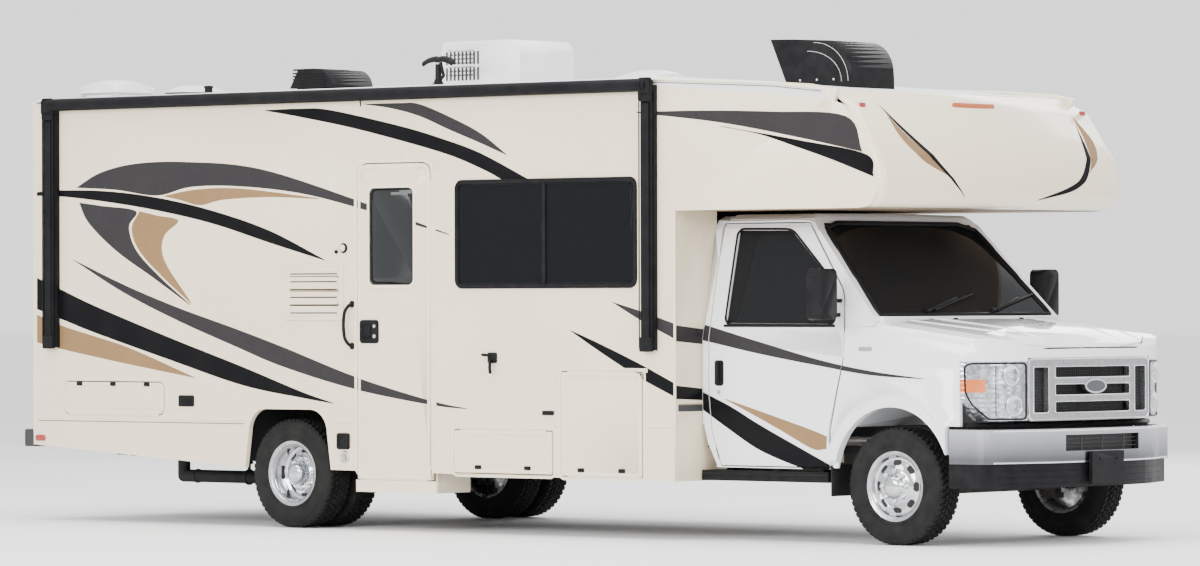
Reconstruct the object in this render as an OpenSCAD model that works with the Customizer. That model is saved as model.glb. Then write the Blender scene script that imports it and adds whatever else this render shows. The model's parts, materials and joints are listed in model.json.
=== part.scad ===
// Class C motorhome: a living box on a cutaway van chassis, with a bed over the cab.
// Millimetres. +X is forward, +Y is the driver's side, +Z is up. The origin lies on the
// ground under the centre of the whole vehicle. Every panel is a separate solid.

/* [Chassis] */
// Front axle's distance ahead of the origin
front_axle_x = 3355; // [3300:5:3600]
// Distance between the axles
wheelbase = 5020; // [4700:10:5300]
// Outer diameter of each tyre
tyre_d = 744; // [700:2:770]
// Width of each tyre
tyre_w = 223; // [200:1:245]
// Diameter of a rim over its flanges
rim_d = 444; // [430:1:460]
// Distance between the front wheels' middles
front_track = 1763; // [1740:1:1800]
// Distance between the middles of the two rear pairs
rear_track = 1976; // [1940:1:1990]
// Distance between the two tyres of a rear pair
dual_spacing = 280; // [262:1:300]
// Height of the rails' undersides
rail_z = 560; // [540:5:580]
// Depth of each frame rail
rail_h = 180; // [120:5:185]
// Width of each frame rail
rail_w = 65; // [50:1:80]
// Distance from the middle to each rail's inner face
rail_in_y = 400; // [360:5:420]

/* [House] */
// Width over the side walls
house_w = 2540; // [2440:10:2600]
// Rear wall's outer face, from the origin
house_rear_x = -4165; // [-4400:5:-4000]
// Front wall's outer face, behind the cab
house_front_x = 1788; // [1700:1:1794]
// Top of the flat part of the roof
roof_z = 2990; // [2900:5:3200]
// Thickness of the walls
wall_t = 36; // [25:1:50]
// Thickness of the roof
roof_t = 60; // [40:1:90]
// Underside of the floor
floor_z = 830; // [824:1:860]
// Thickness of the floor
floor_t = 50; // [30:1:80]
// Lower edge of the skirt at the rear wall
skirt_rear_z = 535; // [480:5:600]
// Lower edge of the skirt at the rear wheels
skirt_mid_z = 405; // [360:5:440]
// Lower edge of the skirt behind the cab
skirt_front_z = 381; // [360:1:400]
// Underside of the bed over the cab
cabover_z = 2124; // [2115:1:2160]
// How far the nose cap stands ahead of the side walls' edge
cap_lead = 55; // [35:1:80]

/* [House openings] */
// Entry door's rear edge
door_x0 = -1007; // [-1100:1:-950]
// Width of the entry doorway
door_w = 677; // [600:1:700]
// Top of the entry doorway
door_top_z = 2475; // [2300:5:2600]
// Bottom of the entry door
door_low_z = 350; // [330:1:360]
// Thickness of the entry door
door_t = 38; // [30:1:45]
// Thickness of the baggage doors
bag_t = 24; // [20:1:34]
// Gap round doors and hatches
gap = 7; // [6:0.5:9]
// Width of a window frame
frame_w = 28; // [20:1:40]
// Thickness of the window glass
glass_t = 6; // [4:1:8]

/* [Cab] */
// Greatest half width of the cab
cab_half_w = 1004; // [980:1:1015]
// Height of the cab's roof
cab_roof_z = 2108; // [2090:1:2112]
// Thickness of the cab's doors and pillars
cab_t = 60; // [40:1:70]
// Thickness of the hood and fender panels
panel_t = 26; // [16:1:34]
// Foremost point of the grille
nose_x = 4195; // [4150:5:4230]
// Foremost point of the front bumper
bumper_x = 4272; // [4240:2:4290]
// Underside of the front bumper
bumper_z = 520; // [500:5:540]
// Height of the front bumper
bumper_h = 216; // [180:2:216]

/* [Roof fittings] */
// Air conditioner's length
ac_l = 720; // [600:10:900]
// Air conditioner's width
ac_w = 560; // [500:10:700]
// Air conditioner's height above the roof
ac_h = 340; // [250:5:360]
// Height of the scoop over the bed's vent
scoop_h = 315; // [200:5:330]

/* [Hitch] */
// Outer width of the hitch receiver's tube
hitch_tube = 63.5; // [60:0.5:70]
// Inner width of the hitch receiver's tube
hitch_in = 51.2; // [50.9:0.1:52]
// Diameter of the hitch pin's hole
hitch_pin_d = 16; // [15.9:0.1:17]

/* [Hidden] */

$fn = 48;
eps = 0.3;               // clearance between faces that touch
far = 9000;              // longer than the vehicle

rear_axle_x = front_axle_x - wheelbase;
axle_z = tyre_d / 2;
half_w = house_w / 2;
wall_in = half_w - wall_t;
rail_top = rail_z + rail_h;
wall_top = roof_z - roof_t;
floor_top = floor_z + floor_t;

// Rear wheel opening in the skirt
well_half = 370;
well_top = 810;
well_r = 158;
well_flare = 58;

// Points of an arc, in degrees, from a0 to a1
function arc(cx, cy, r, a0, a1, n = 8) =
    [for (i = [0:n]) let (a = a0 + (a1 - a0) * i / n) [cx + r * cos(a), cy + r * sin(a)]];

// Points of a rectangle with round corners, counter-clockwise
function round_rect(x0, z0, x1, z1, r, n = 6) = concat(
    arc(x0 + r, z0 + r, r, 180, 270, n), arc(x1 - r, z0 + r, r, 270, 360, n),
    arc(x1 - r, z1 - r, r, 0, 90, n), arc(x0 + r, z1 - r, r, 90, 180, n));

// Extrudes an outline given in X and Z from y0 to y1
module along_y(y0, y1) {
    translate([0, y1, 0]) rotate([90, 0, 0]) linear_extrude(y1 - y0) children();
}

// Extrudes an outline given in Y and Z from x0 to x1
module along_x(x0, x1) {
    translate([x0, 0, 0]) rotate([90, 0, 90]) linear_extrude(x1 - x0) children();
}

// A box from one corner to the other
module box(a, b) {
    translate(a) cube(b - a);
}

// A round bar along Y
module bar_y(x, z, r, y0, y1) {
    translate([x, y1, z]) rotate([90, 0, 0]) cylinder(r = r, h = y1 - y0);
}

// A round bar along X
module bar_x(y, z, r, x0, x1) {
    translate([x0, y, z]) rotate([0, 90, 0]) cylinder(r = r, h = x1 - x0);
}

// The child and its mirror image on the other side
module both_sides() {
    children();
    mirror([0, 1, 0]) children();
}

// ------------------------------------------------------------------ house

slope_x = 1675;          // where the roof starts to fall towards the nose
wall_edge_top = [3041, roof_z - 115];

// Front edge of the side walls over the cab, from the bottom up
cabover_edge = concat(
    [[3300, cabover_z]],
    arc(3330, cabover_z + 128, 126, -68, 8, 6),
    [[3406, cabover_z + 340], [3195, cabover_z + 645]],
    [wall_edge_top]);

function skirt_z(x) = x < rear_axle_x
    ? skirt_mid_z + (skirt_rear_z - skirt_mid_z) * (rear_axle_x - well_half - x)
        / (rear_axle_x - well_half - house_rear_x)
    : skirt_mid_z + (skirt_front_z - skirt_mid_z) * (x - rear_axle_x - well_half)
        / (house_front_x - rear_axle_x - well_half);

function well_outline() = concat(
    [[rear_axle_x - well_half - well_flare, 250]],
    arc(rear_axle_x - well_half + well_r, well_top - well_r, well_r, 180, 90),
    arc(rear_axle_x + well_half - well_r, well_top - well_r, well_r, 90, 0),
    [[rear_axle_x + well_half + well_flare, 250]]);

// Side wall seen from the side, up to the roof's underside
module wall_outline() {
    drop = roof_t;
    difference() {
        polygon(concat(
            [[house_rear_x + wall_t, skirt_z(house_rear_x + wall_t)],
                [rear_axle_x - well_half, skirt_mid_z],
                [rear_axle_x + well_half, skirt_mid_z],
                [house_front_x, skirt_front_z], [house_front_x, cabover_z]],
            [for (p = cabover_edge) p[1] < wall_edge_top[1] - drop ? p
                : [p[0], wall_edge_top[1] - drop]],
            [[slope_x, wall_top], [house_rear_x + wall_t, wall_top]]));
        polygon(well_outline());
    }
}

// Doors and windows, each [x0, z0, x1, z1]
door_x1 = door_x0 + door_w;
window_right = [-114, 1627, 1475, 2349];
window_left = [-560, 1627, 930, 2349];
window_bed = [-3560, 1727, -2640, 2299];
window_rear = [-480, 1727, 480, 2299];       // Y and Z
bag_rear = [-3857, 754, -2849, 989];
bag_mid = [-128, 401, 747, 695];
bag_front = [819, 396, 1521, 1086];
bag_left = [-650, 401, 700, 780];
fridge = [-1683, 1418, -1131, 1800];
window_r = 60;
bag_r = 14;
bag_rear_r = 55;

module rect_hole(b, r, y0, y1) {
    along_y(y0, y1) polygon(round_rect(b[0], b[1], b[2], b[3], r));
}

module doorway(grow) {
    polygon(concat([[door_x0 - grow, 200], [door_x1 + grow, 200]],
        arc(door_x1 + grow - 90, door_top_z + grow - 90, 90, 0, 90),
        arc(door_x0 - grow + 90, door_top_z + grow - 90, 90, 90, 180)));
}

module house_wall_right() {
    color("antiquewhite") difference() {
        along_y(-half_w, -wall_in) wall_outline();
        along_y(-half_w - 1, -wall_in + 1) doorway(0);
        rect_hole(window_right, window_r, -half_w - 1, -wall_in + 1);
        rect_hole(bag_rear, bag_rear_r, -half_w - 1, -wall_in + 1);
        rect_hole(bag_mid, bag_r, -half_w - 1, -wall_in + 1);
        rect_hole(bag_front, bag_r, -half_w - 1, -wall_in + 1);
        rect_hole(fridge, 10, -half_w - 1, -wall_in + 1);
    }
}

module house_wall_left() {
    color("antiquewhite") difference() {
        along_y(wall_in, half_w) wall_outline();
        rect_hole(window_left, window_r, wall_in - 1, half_w + 1);
        rect_hole(window_bed, window_r, wall_in - 1, half_w + 1);
        rect_hole(bag_left, bag_r, wall_in - 1, half_w + 1);
    }
}

module house_wall_rear() {
    color("antiquewhite") difference() {
        box([house_rear_x, -half_w, skirt_rear_z], [house_rear_x + wall_t, half_w, wall_top]);
        along_x(house_rear_x - 1, house_rear_x + wall_t + 1)
            polygon(round_rect(window_rear[0], window_rear[1], window_rear[2],
                window_rear[3], window_r));
        both_sides() box([house_rear_x - 1, rail_in_y - gap, 0],
            [house_rear_x + wall_t + 1, rail_in_y + rail_w + gap, rail_top + eps]);
    }
}

cab_open_y = 840;        // half width of the way through to the cab
module house_wall_front() {
    color("antiquewhite") difference() {
        box([house_front_x - wall_t, -wall_in, skirt_front_z],
            [house_front_x, wall_in, cabover_z]);
        box([house_front_x - far, -cab_open_y, floor_top], [far, cab_open_y, far]);
        box([house_front_x - far, -rail_in_y - rail_w - 190, 0],
            [far, rail_in_y + rail_w + 190, floor_z]);
        box([house_front_x - far, -wall_in - 1, floor_z], [far, wall_in + 1, floor_top]);
    }
}

module house_floor() {
    color("dimgray") difference() {
        box([house_rear_x + wall_t, -wall_in, floor_z], [house_front_x, wall_in, floor_top]);
        box([door_x0 - 20, -wall_in - 1, 0], [door_x1 + 20, -wall_in + step_d, far]);
    }
    color("dimgray") box([house_front_x - wall_t, -wall_in, cabover_z],
        [3290, wall_in, cabover_z + wall_t]);
}

module roof_profile() {
    polygon([[house_rear_x, wall_top], [slope_x, wall_top],
        [wall_edge_top[0], wall_edge_top[1] - roof_t], wall_edge_top,
        [slope_x, roof_z], [house_rear_x, roof_z]]);
}

// Roof openings, each [x, y, half length, half width]
vent_main = [-2440, 0, 178, 178];
vent_bath = [-3560, -250, 178, 178];
vent_front = [535, 0, 178, 178];
skylight = [-3800, -800, 180, 180];
vent_bed = [2150, 0, 190, 190];

function roof_at(x) = x < slope_x ? roof_z
    : roof_z - 115 * (x - slope_x) / (wall_edge_top[0] - slope_x);

module roof_hole(v, in) {
    box([v[0] - v[2] + in, v[1] - v[3] + in, wall_top - 150],
        [v[0] + v[2] - in, v[1] + v[3] - in, roof_z + 100]);
}

module house_roof() {
    edge_r = 42;
    color("whitesmoke") difference() {
        intersection() {
            along_y(-half_w, half_w) roof_profile();
            union() {
                box([-far, -half_w, 0], [far, half_w, roof_z - edge_r]);
                box([-far, -half_w + edge_r, 0], [far, half_w - edge_r, roof_z]);
                both_sides() bar_x(half_w - edge_r, roof_z - edge_r, edge_r, -far, far);
            }
        }
        for (v = [vent_main, vent_bath, vent_front, skylight, vent_bed]) roof_hole(v, 30);
    }
}

// Outer side view of the nose cap, ahead of the side walls' edge; inset pulls it in
module cap_outline(inset) {
    lead = cap_lead - inset;
    polygon(concat(
        [[3040, cabover_z + inset], [3300, cabover_z + inset]],
        arc(3330 + lead, cabover_z + 120 + inset / 2, 118, -72, 6, 6),
        [[3450 + lead, cabover_z + 190], [3406 + lead, cabover_z + 340],
            [3195 + lead, cabover_z + 645 - inset / 2]],
        arc(wall_edge_top[0] + lead - 55, wall_edge_top[1] - inset - 62, 60, 30, 84, 3),
        [[wall_edge_top[0] - 5, wall_edge_top[1] - inset]]));
}

// Region that the side walls, roof and bed floor take up, for the cap to close round
module cap_inside() {
    polygon(concat([[2900, cabover_z - 10], [3290, cabover_z - 10]],
        cabover_edge, [[2900, wall_edge_top[1] + 60]]));
}

module nose_cap() {
    color("antiquewhite") difference() {
        hull() {
            along_y(-half_w + 46, half_w - 46) cap_outline(0);
            along_y(-half_w + 14, half_w - 14) cap_outline(14);
            along_y(-half_w, half_w) cap_outline(42);
        }
        along_y(-half_w - 1, half_w + 1) cap_inside();
    }
}

module wheel_wells() {
    x0 = rear_axle_x - well_half - well_flare - 36;
    x1 = rear_axle_x + well_half + well_flare + 36;
    color("black") both_sides() difference() {
        box([x0, wall_in - 545, 446], [x1, wall_in - eps, floor_z - eps]);
        box([x0 + 12, wall_in - 533, 400], [x1 - 12, wall_in + 1, floor_z - 12]);
    }
}

step_d = 330;            // depth of the step well
module step_well() {
    x0 = door_x0 - 13;
    x1 = door_x1 + 13;
    low = 262;
    color("antiquewhite") {
        // tray below the doorway, with a skirt under the door's foot
        box([x0, -half_w - 4, low], [x1 + 30, -half_w + 22, door_low_z - gap]);
        box([x0, -half_w + 22, low], [x1, -wall_in + step_d - 12, low + 20]);
    }
    color("dimgray") {
        box([x0, -wall_in + step_d - 12, low], [x1, -wall_in + step_d, floor_z - eps]);
        for (x = [x0, x1 - 12])
            box([x, -wall_in + eps, low + 20], [x + 12, -wall_in + step_d - 12, floor_z - eps]);
        box([x0 + 12, -wall_in + 150, 560], [x1 - 12, -wall_in + step_d - 12, 580]);
    }
}

door_y = half_w + 6;     // the doors' outer faces stand a little proud
hinge_r = 4;             // barrel of each door's hinge
door_glass = [-888, 1653, -487, 2307];
module entry_door() {
    color("antiquewhite") {
        difference() {
            along_y(-door_y, -door_y + door_t) intersection() {
                doorway(-gap);
                translate([-far, door_low_z]) square([2 * far, far]);
            }
            rect_hole(door_glass, 50, -door_y - 1, -door_y + door_t + 1);
        }
        translate([door_x1 + 3, -half_w - hinge_r - eps, door_low_z + 70])
            cylinder(r = hinge_r, h = door_top_z - door_low_z - 190);
        box([door_x1 - gap - 6, -door_y, door_low_z + 70], [door_x1 + 3, -half_w - 1.5, door_top_z - 120]);
    }
}

module entry_door_glass() {
    g = door_glass;
    color([0.3, 0.36, 0.36]) rect_hole([g[0] + eps, g[1] + eps, g[2] - eps, g[3] - eps],
        50 - eps, -door_y + 6, -door_y + 6 + glass_t);
}

module bag_leaf(b, r, y0) {
    rect_hole([b[0] + gap, b[1] + gap, b[2] - gap, b[3] - gap], r - gap + 2, y0, y0 + bag_t);
}

// Hinge along a hatch's edge at height z, its barrel on the wall; side +1 is above the leaf
module bag_hinge(b, z, side) {
    bar_x(-half_w - hinge_r - eps, z + side * 3, hinge_r, b[0] + 60, b[2] - 60);
    box([b[0] + 60, -door_y, min(z + side * 3, z - side * (gap + 6))],
        [b[2] - 60, -half_w - 1.5, max(z + side * 3, z - side * (gap + 6))]);
}

module bag_door_right_rear() {
    color("antiquewhite") {
        bag_leaf(bag_rear, bag_rear_r, -door_y);
        bag_hinge(bag_rear, bag_rear[1], -1);
    }
}

module bag_door_right_mid() {
    color("antiquewhite") {
        bag_leaf(bag_mid, bag_r, -door_y);
        bag_hinge(bag_mid, bag_mid[3], 1);
    }
}

module bag_door_right_front() {
    color("antiquewhite") {
        bag_leaf(bag_front, bag_r, -door_y);
        bag_hinge(bag_front, bag_front[3], 1);
    }
}

module bag_door_left() {
    color("antiquewhite") mirror([0, 1, 0]) {
        bag_leaf(bag_left, bag_r, -door_y);
        bag_hinge(bag_left, bag_left[3], 1);
    }
}

module window_ring(b, bar) {
    frame_y = half_w + 8;
    difference() {
        along_y(-frame_y, -wall_in)
            polygon(round_rect(b[0] + eps, b[1] + eps, b[2] - eps, b[3] - eps, window_r - eps));
        difference() {
            rect_hole([b[0] + frame_w, b[1] + frame_w, b[2] - frame_w, b[3] - frame_w],
                window_r - frame_w, -frame_y - 1, -wall_in + 1);
            if (bar != 0) box([bar - 12, -far, 0], [bar + 12, far, far]);
        }
    }
}

module window_pane(b, bar) {
    c = frame_w + eps;
    difference() {
        rect_hole([b[0] + c, b[1] + c, b[2] - c, b[3] - c], window_r - c,
            -half_w + 2, -half_w + 2 + glass_t);
        if (bar != 0) box([bar - 12 - eps, -far, 0], [bar + 12 + eps, far, far]);
    }
}

bar_right = 672;         // where the sliding window's middle bar stands
bar_left = 190;
module rear_window_place() {
    translate([house_rear_x + half_w, 0, 0]) rotate([0, 0, -90]) children();
}

module house_window_frames() {
    color("black") {
        window_ring(window_right, bar_right);
        mirror([0, 1, 0]) window_ring(window_left, bar_left);
        mirror([0, 1, 0]) window_ring(window_bed, 0);
        rear_window_place() window_ring(window_rear, 0);
    }
}

module house_window_glass() {
    color([0.1, 0.1, 0.11]) {
        window_pane(window_right, bar_right);
        mirror([0, 1, 0]) window_pane(window_left, bar_left);
        mirror([0, 1, 0]) window_pane(window_bed, 0);
        rear_window_place() window_pane(window_rear, 0);
    }
}

module fridge_vent() {
    f = fridge;
    color("antiquewhite") difference() {
        rect_hole([f[0] + eps, f[1] + eps, f[2] - eps, f[3] - eps], 10, -half_w - 12, -wall_in);
        for (i = [0:2])
            box([f[0] + 40, -half_w - 13, f[1] + 95 + 95 * i],
                [f[2] - 40, -half_w + 12, f[1] + 110 + 95 * i]);
    }
}

awning_out = 88;         // how far the awning stands off the wall
awning_x0 = -3942;
awning_x1 = 1408;
arm_rear = [-4030, -3896];
arm_front = [1530, 1647];
awning_arm_z = 1225;
module awning() {
    roll_r = 43;
    roll_y = -half_w - awning_out + roll_r;
    roll_z = 2936;
    color([0.08, 0.08, 0.09]) {
        bar_x(roll_y, roll_z, roll_r, arm_rear[1] - 40, arm_front[0] + 40);
        for (a = [arm_rear, arm_front]) {
            box([a[0], -half_w - 30, awning_arm_z], [a[1], -half_w, roll_z]);
            box([a[0] + 20, -half_w - 52, awning_arm_z + 40], [a[1] - 20, -half_w - 30, roll_z - 60]);
            box([a[0] + 10, roll_y - 20, roll_z - 60], [a[1] - 10, -half_w - 30, roll_z + 30]);
        }
    }
}

module rear_bumper() {
    y = half_w - 40;
    color("black") difference() {
        union() {
            box([house_rear_x - 132, -y, 520], [house_rear_x - 20, y, 640]);
            both_sides() box([house_rear_x - 30, rail_in_y, 560 + eps],
                [house_rear_x + 30, rail_in_y + rail_w, rail_top]);
        }
        box([house_rear_x - 130 + 8, -y + 10, 512], [house_rear_x - 28, y - 10, 632]);
    }
}

hitch_z = 470;
hitch_x = house_rear_x - 130;
module hitch_receiver() {
    l = 360;
    t = hitch_tube / 2;
    color("black") difference() {
        union() {
            box([hitch_x, -t, hitch_z - t], [hitch_x + l, t, hitch_z + t]);
            box([hitch_x + l - 70, -rail_in_y - rail_w, hitch_z - t],
                [hitch_x + l, rail_in_y + rail_w, hitch_z + t]);
            both_sides() box([hitch_x + l - 70, rail_in_y + eps, hitch_z + t],
                [hitch_x + l, rail_in_y + rail_w, rail_z - eps]);
        }
        box([hitch_x - 1, -hitch_in / 2, hitch_z - hitch_in / 2],
            [hitch_x + l - 80, hitch_in / 2, hitch_z + hitch_in / 2]);
        bar_y(hitch_x + 66, hitch_z, hitch_pin_d / 2, -100, 100);
    }
}

module tail_lamps() {
    color("darkred") both_sides() {
        along_x(house_rear_x - 34, house_rear_x - eps)
            polygon(round_rect(985, 860, 1185, 1120, 20));
        along_x(house_rear_x - 24, house_rear_x - eps)
            polygon(round_rect(1020, 2780, 1130, 2830, 12));
    }
}

// ------------------------------------------------------------------ roof fittings

ac_x = -780;
module roof_ac() {
    color("whitesmoke") difference() {
        along_y(-ac_w / 2, ac_w / 2) polygon(concat(
            [[ac_x - ac_l / 2, roof_z + 40], [ac_x + ac_l / 2, roof_z + 40]],
            arc(ac_x + ac_l / 2 - 90, roof_z + ac_h - 90, 90, 0, 90),
            arc(ac_x - ac_l / 2 + 60, roof_z + ac_h - 60, 60, 90, 180)));
        for (i = [0:6], s = [-1, 1])
            box([ac_x - ac_l / 2 + 60, s * ac_w / 2 - 12, roof_z + 100 + 28 * i],
                [ac_x - 60, s * ac_w / 2 + 12, roof_z + 112 + 28 * i]);
    }
    color("black") box([ac_x - ac_l / 2 + 10, -ac_w / 2 + 10, roof_z + eps],
        [ac_x + ac_l / 2 - 10, ac_w / 2 - 10, roof_z + 40]);
}

module vent_curb(v, h) {
    difference() {
        box([v[0] - v[2], v[1] - v[3], roof_z + eps], [v[0] + v[2], v[1] + v[3], roof_z + h]);
        box([v[0] - v[2] + 20, v[1] - v[3] + 20, roof_z - 1],
            [v[0] + v[2] - 20, v[1] + v[3] - 20, roof_z + h - 12]);
    }
}

module dome(v, h, rise) {
    translate([v[0], v[1], roof_z + h]) intersection() {
        translate([0, 0, rise - 620]) sphere(r = 620, $fn = 64);
        box([-v[2] - 10, -v[3] - 10, 0], [v[2] + 10, v[3] + 10, rise + 1]);
    }
}

module roof_vents() {
    color("whitesmoke") {
        vent_curb(skylight, 40);
        dome(skylight, 40, 95);
        vent_curb(vent_bath, 36);
        translate([vent_bath[0], vent_bath[1], roof_z + 36]) cylinder(r = 215, h = 30);
        translate([vent_bath[0], vent_bath[1], roof_z + 66]) cylinder(r1 = 200, r2 = 120, h = 34);
        vent_curb(vent_front, 30);
        dome(vent_front, 30, 80);
        bed_vent_curb();
    }
    color("black") {
        vent_curb(vent_main, 60);
        along_y(-200, 200) polygon(concat([[vent_main[0] - 230, roof_z + 60],
            [vent_main[0] + 200, roof_z + 60]],
            arc(vent_main[0] + 70, roof_z + 60, 130, 0, 90), [[vent_main[0] - 150, roof_z + 190]]));
    }
}

// Curb that follows the roof's slope
module bed_vent_curb() {
    v = vent_bed;
    x0 = v[0] - v[2];
    x1 = v[0] + v[2];
    difference() {
        along_y(-v[3], v[3]) polygon([[x0, roof_at(x0) + eps], [x1, roof_at(x1) + eps],
            [x1, roof_at(x1) + 28], [x0, roof_at(x0) + 28]]);
        box([x0 + 22, -v[3] + 22, 0], [x1 - 22, v[3] - 22, far]);
    }
}

// Wind scoop over the bed's vent: closed in front, open behind
module scoop_side(t) {
    foot = 1870;
    nose = 2420;
    polygon(concat([[foot, roof_at(foot) + eps - t * 20], [nose - t, roof_at(nose) + eps - t * 20],
        [nose - t, roof_at(nose) + 60]],
        arc(nose - 210, roof_z + scoop_h - 270, 206 - t, 8, 84),
        [[foot + 60, roof_z + scoop_h - 50 - t], [foot - 130 - t * 10, roof_z + scoop_h - 46 - t]]));
}

module bed_vent_cover() {
    w = 225;
    color([0.06, 0.06, 0.07]) difference() {
        along_y(-w, w) scoop_side(0);
        difference() {
            along_y(-w + 8, w - 8) scoop_side(8);
            along_y(-w, w) polygon([[1000, 2000], [1600, 3400], [1601, 2000]]);
        }
    }
}

// ------------------------------------------------------------------ chassis

engine_z = rail_z + 70;  // underside of the engine
radiator_x = 3990;
floor_beam = 884;        // half length of the beams under the floor
module chassis_frame() {
    color([0.1, 0.1, 0.1]) {
        both_sides() difference() {
            box([house_rear_x + 30 + eps, rail_in_y, rail_z],
                [radiator_x + 10, rail_in_y + rail_w, rail_top]);
            box([house_rear_x, rail_in_y - 1, rail_z + 8],
                [radiator_x + 20, rail_in_y + rail_w - 8, rail_top - 8]);
        }
        for (x = [-3900, -2700, -700, 500, 2500, 3300, 3720])
            box([x, -rail_in_y - rail_w + 9, rail_z + 8],
                [x + 60, rail_in_y + rail_w - 9, x < 3000 ? rail_top - 8 : engine_z - eps]);
        // radiator and its carrier, across the rails' front ends
        box([radiator_x, -640, rail_z + 8], [radiator_x + 45, 640, 1150]);
        // beams that carry the house floor
        for (x = [-4000, -3050, -2250, -1130, -100, 800, 1600])
            box([x, -floor_beam, rail_top], [x + 70, floor_beam, floor_z - eps]);
    }
}

king_y = 735;            // where each steered wheel's pivot stands
module front_axle() {
    color([0.12, 0.12, 0.12]) {
        box([front_axle_x - 45, -king_y + 62, axle_z - 60],
            [front_axle_x + 45, king_y - 62, axle_z + 50]);
        both_sides() {
            // fork of the axle's end, above and below the knuckle
            for (z = [axle_z - 118, axle_z + 82])
                box([front_axle_x - 34, king_y - 90, z], [front_axle_x + 34, king_y + 30, z + 36]);
            box([front_axle_x - 34, king_y - 90, axle_z - 118],
                [front_axle_x + 34, king_y - 62, axle_z + 118]);
            // coil spring up to the rail
            translate([front_axle_x, rail_in_y + rail_w / 2, axle_z + 50])
                cylinder(r = 58, h = rail_z - axle_z - 50 - eps);
        }
    }
}

module knuckle() {
    color([0.2, 0.2, 0.2]) {
        translate([front_axle_x, king_y, axle_z - 82 + eps]) cylinder(r = 30, h = 164 - 2 * eps);
        bar_y(front_axle_x, axle_z, 42, king_y, front_track / 2 - 34);
        // steering arm, behind the axle
        box([front_axle_x - 190, king_y - 20, axle_z - 70], [front_axle_x, king_y + 14, axle_z - 46]);
    }
}

module knuckle_left() {
    knuckle();
}

module knuckle_right() {
    mirror([0, 1, 0]) knuckle();
}

hub_in = rear_track / 2 - dual_spacing / 2 - tyre_w / 2 - 40;
module rear_axle() {
    color([0.12, 0.12, 0.12]) {
        difference() {
            union() {
                bar_y(rear_axle_x, axle_z, 58, -hub_in, hub_in);
                translate([rear_axle_x, 0, axle_z]) sphere(r = 172);
            }
            box([rear_axle_x - 300, -400, 0], [rear_axle_x + 300, 400, axle_z - 150]);
        }
        both_sides() {
            // leaf spring, saddled on the tube and hung from the rail
            along_y(rail_in_y, rail_in_y + rail_w) polygon([
                [rear_axle_x - 720, rail_z - 36], [rear_axle_x - 80, axle_z + 60],
                [rear_axle_x + 80, axle_z + 60], [rear_axle_x + 720, rail_z - 36],
                [rear_axle_x + 720, rail_z - eps], [rear_axle_x + 690, rail_z - eps],
                [rear_axle_x + 80, axle_z + 110], [rear_axle_x - 80, axle_z + 110],
                [rear_axle_x - 690, rail_z - eps], [rear_axle_x - 720, rail_z - eps]]);
        }
        bar_x(0, axle_z + 60, 48, rear_axle_x + 140, 2280);
        box([2280, -140, 400], [3140, 140, rail_z + 8 - eps]);
    }
}

module engine_block() {
    color("gray") box([3190, -300, engine_z], [3880, 300, 1180]);
}

module exhaust() {
    color("darkgray") {
        bar_x(-560, 640, 30, -1050, 2900);
        bar_x(-560, 640, 90, 200, 900);
        for (x = [820, 1620]) box([x, -575, 640], [x + 30, -545, rail_top - eps]);
    }
}

module under_tanks() {
    color([0.15, 0.15, 0.16]) {
        box([-3600, 480, 540], [-2500, 1000, rail_top - eps]);
        box([-3600, -1000, 465], [-2700, -480, rail_top - eps]);
        // drain pipe, down from the tank and forward to its cap
        translate([-3030, -900, 325]) cylinder(r = 44, h = 200);
        translate([-3030, -900, 325]) sphere(r = 44);
        bar_x(-900, 325, 44, -3030, -2145);
        box([-900, -380, 488], [600, 380, rail_z + 8 - eps]);
        box([-900, 500, 500], [200, 1000, rail_top - eps]);
    }
}

// ------------------------------------------------------------------ wheels

bead_r = 204;
module tyre_at(x, y) {
    r = tyre_d / 2;
    h = tyre_w / 2;
    color([0.05, 0.05, 0.05]) translate([x, y, axle_z]) rotate([90, 0, 0]) rotate_extrude($fn = 96)
        polygon(concat([[bead_r, -h + 30], [bead_r + 16, -h + 22]],
            arc(r - 78, -h + 34, 34, -100, -60, 3), arc(r - 26, -h + 34, 26, -30, 0, 3),
            [[r, -h + 60], [r, h - 60]],
            arc(r - 26, h - 34, 26, 0, 30, 3), arc(r - 78, h - 34, 34, 60, 100, 3),
            [[bead_r + 16, h - 22], [bead_r, h - 30]]));
}

// Rim turned about Y; face is +1 where its dish looks outwards on the left side
module rim_at(x, y, dish, hub0, hub1) {
    w = tyre_w / 2 - 20;
    r = bead_r - eps;
    color("silver") translate([x, y, axle_z]) rotate([-90, 0, 0]) rotate_extrude($fn = 96)
        polygon([[r - 10, -w], [rim_d / 2, -w - 8], [rim_d / 2, -w], [r, -w + 8], [r, w - 8],
            [rim_d / 2, w], [rim_d / 2, w + 8], [r - 10, w], [r - 14, dish + 16],
            [70, dish + 8], [70, hub1], [0, hub1], [0, hub0], [60, hub0], [60, dish - 8],
            [r - 14, dish - 8]]);
}

front_y = front_track / 2;
rear_y = rear_track / 2;
outer_y = rear_y + dual_spacing / 2;
inner_y = rear_y - dual_spacing / 2;

module rim_front() {
    rim_at(front_axle_x, front_y, 18, -34 + 0.5, 70);
}

module rims_rear() {
    rim_at(rear_axle_x, outer_y, -60, -dual_spacing / 2, 20);
    rim_at(rear_axle_x, inner_y, 60, hub_in + 0.5 - inner_y, dual_spacing / 2);
}

module tyre_front_left() {
    tyre_at(front_axle_x, front_y);
}

module tyre_front_right() {
    tyre_at(front_axle_x, -front_y);
}

module rim_front_left() {
    rim_front();
}

module rim_front_right() {
    mirror([0, 1, 0]) rim_front();
}

module tyres_rear_left() {
    tyre_at(rear_axle_x, outer_y);
    tyre_at(rear_axle_x, inner_y);
}

module tyres_rear_right() {
    mirror([0, 1, 0]) tyres_rear_left();
}

module rims_rear_left() {
    rims_rear();
}

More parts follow.
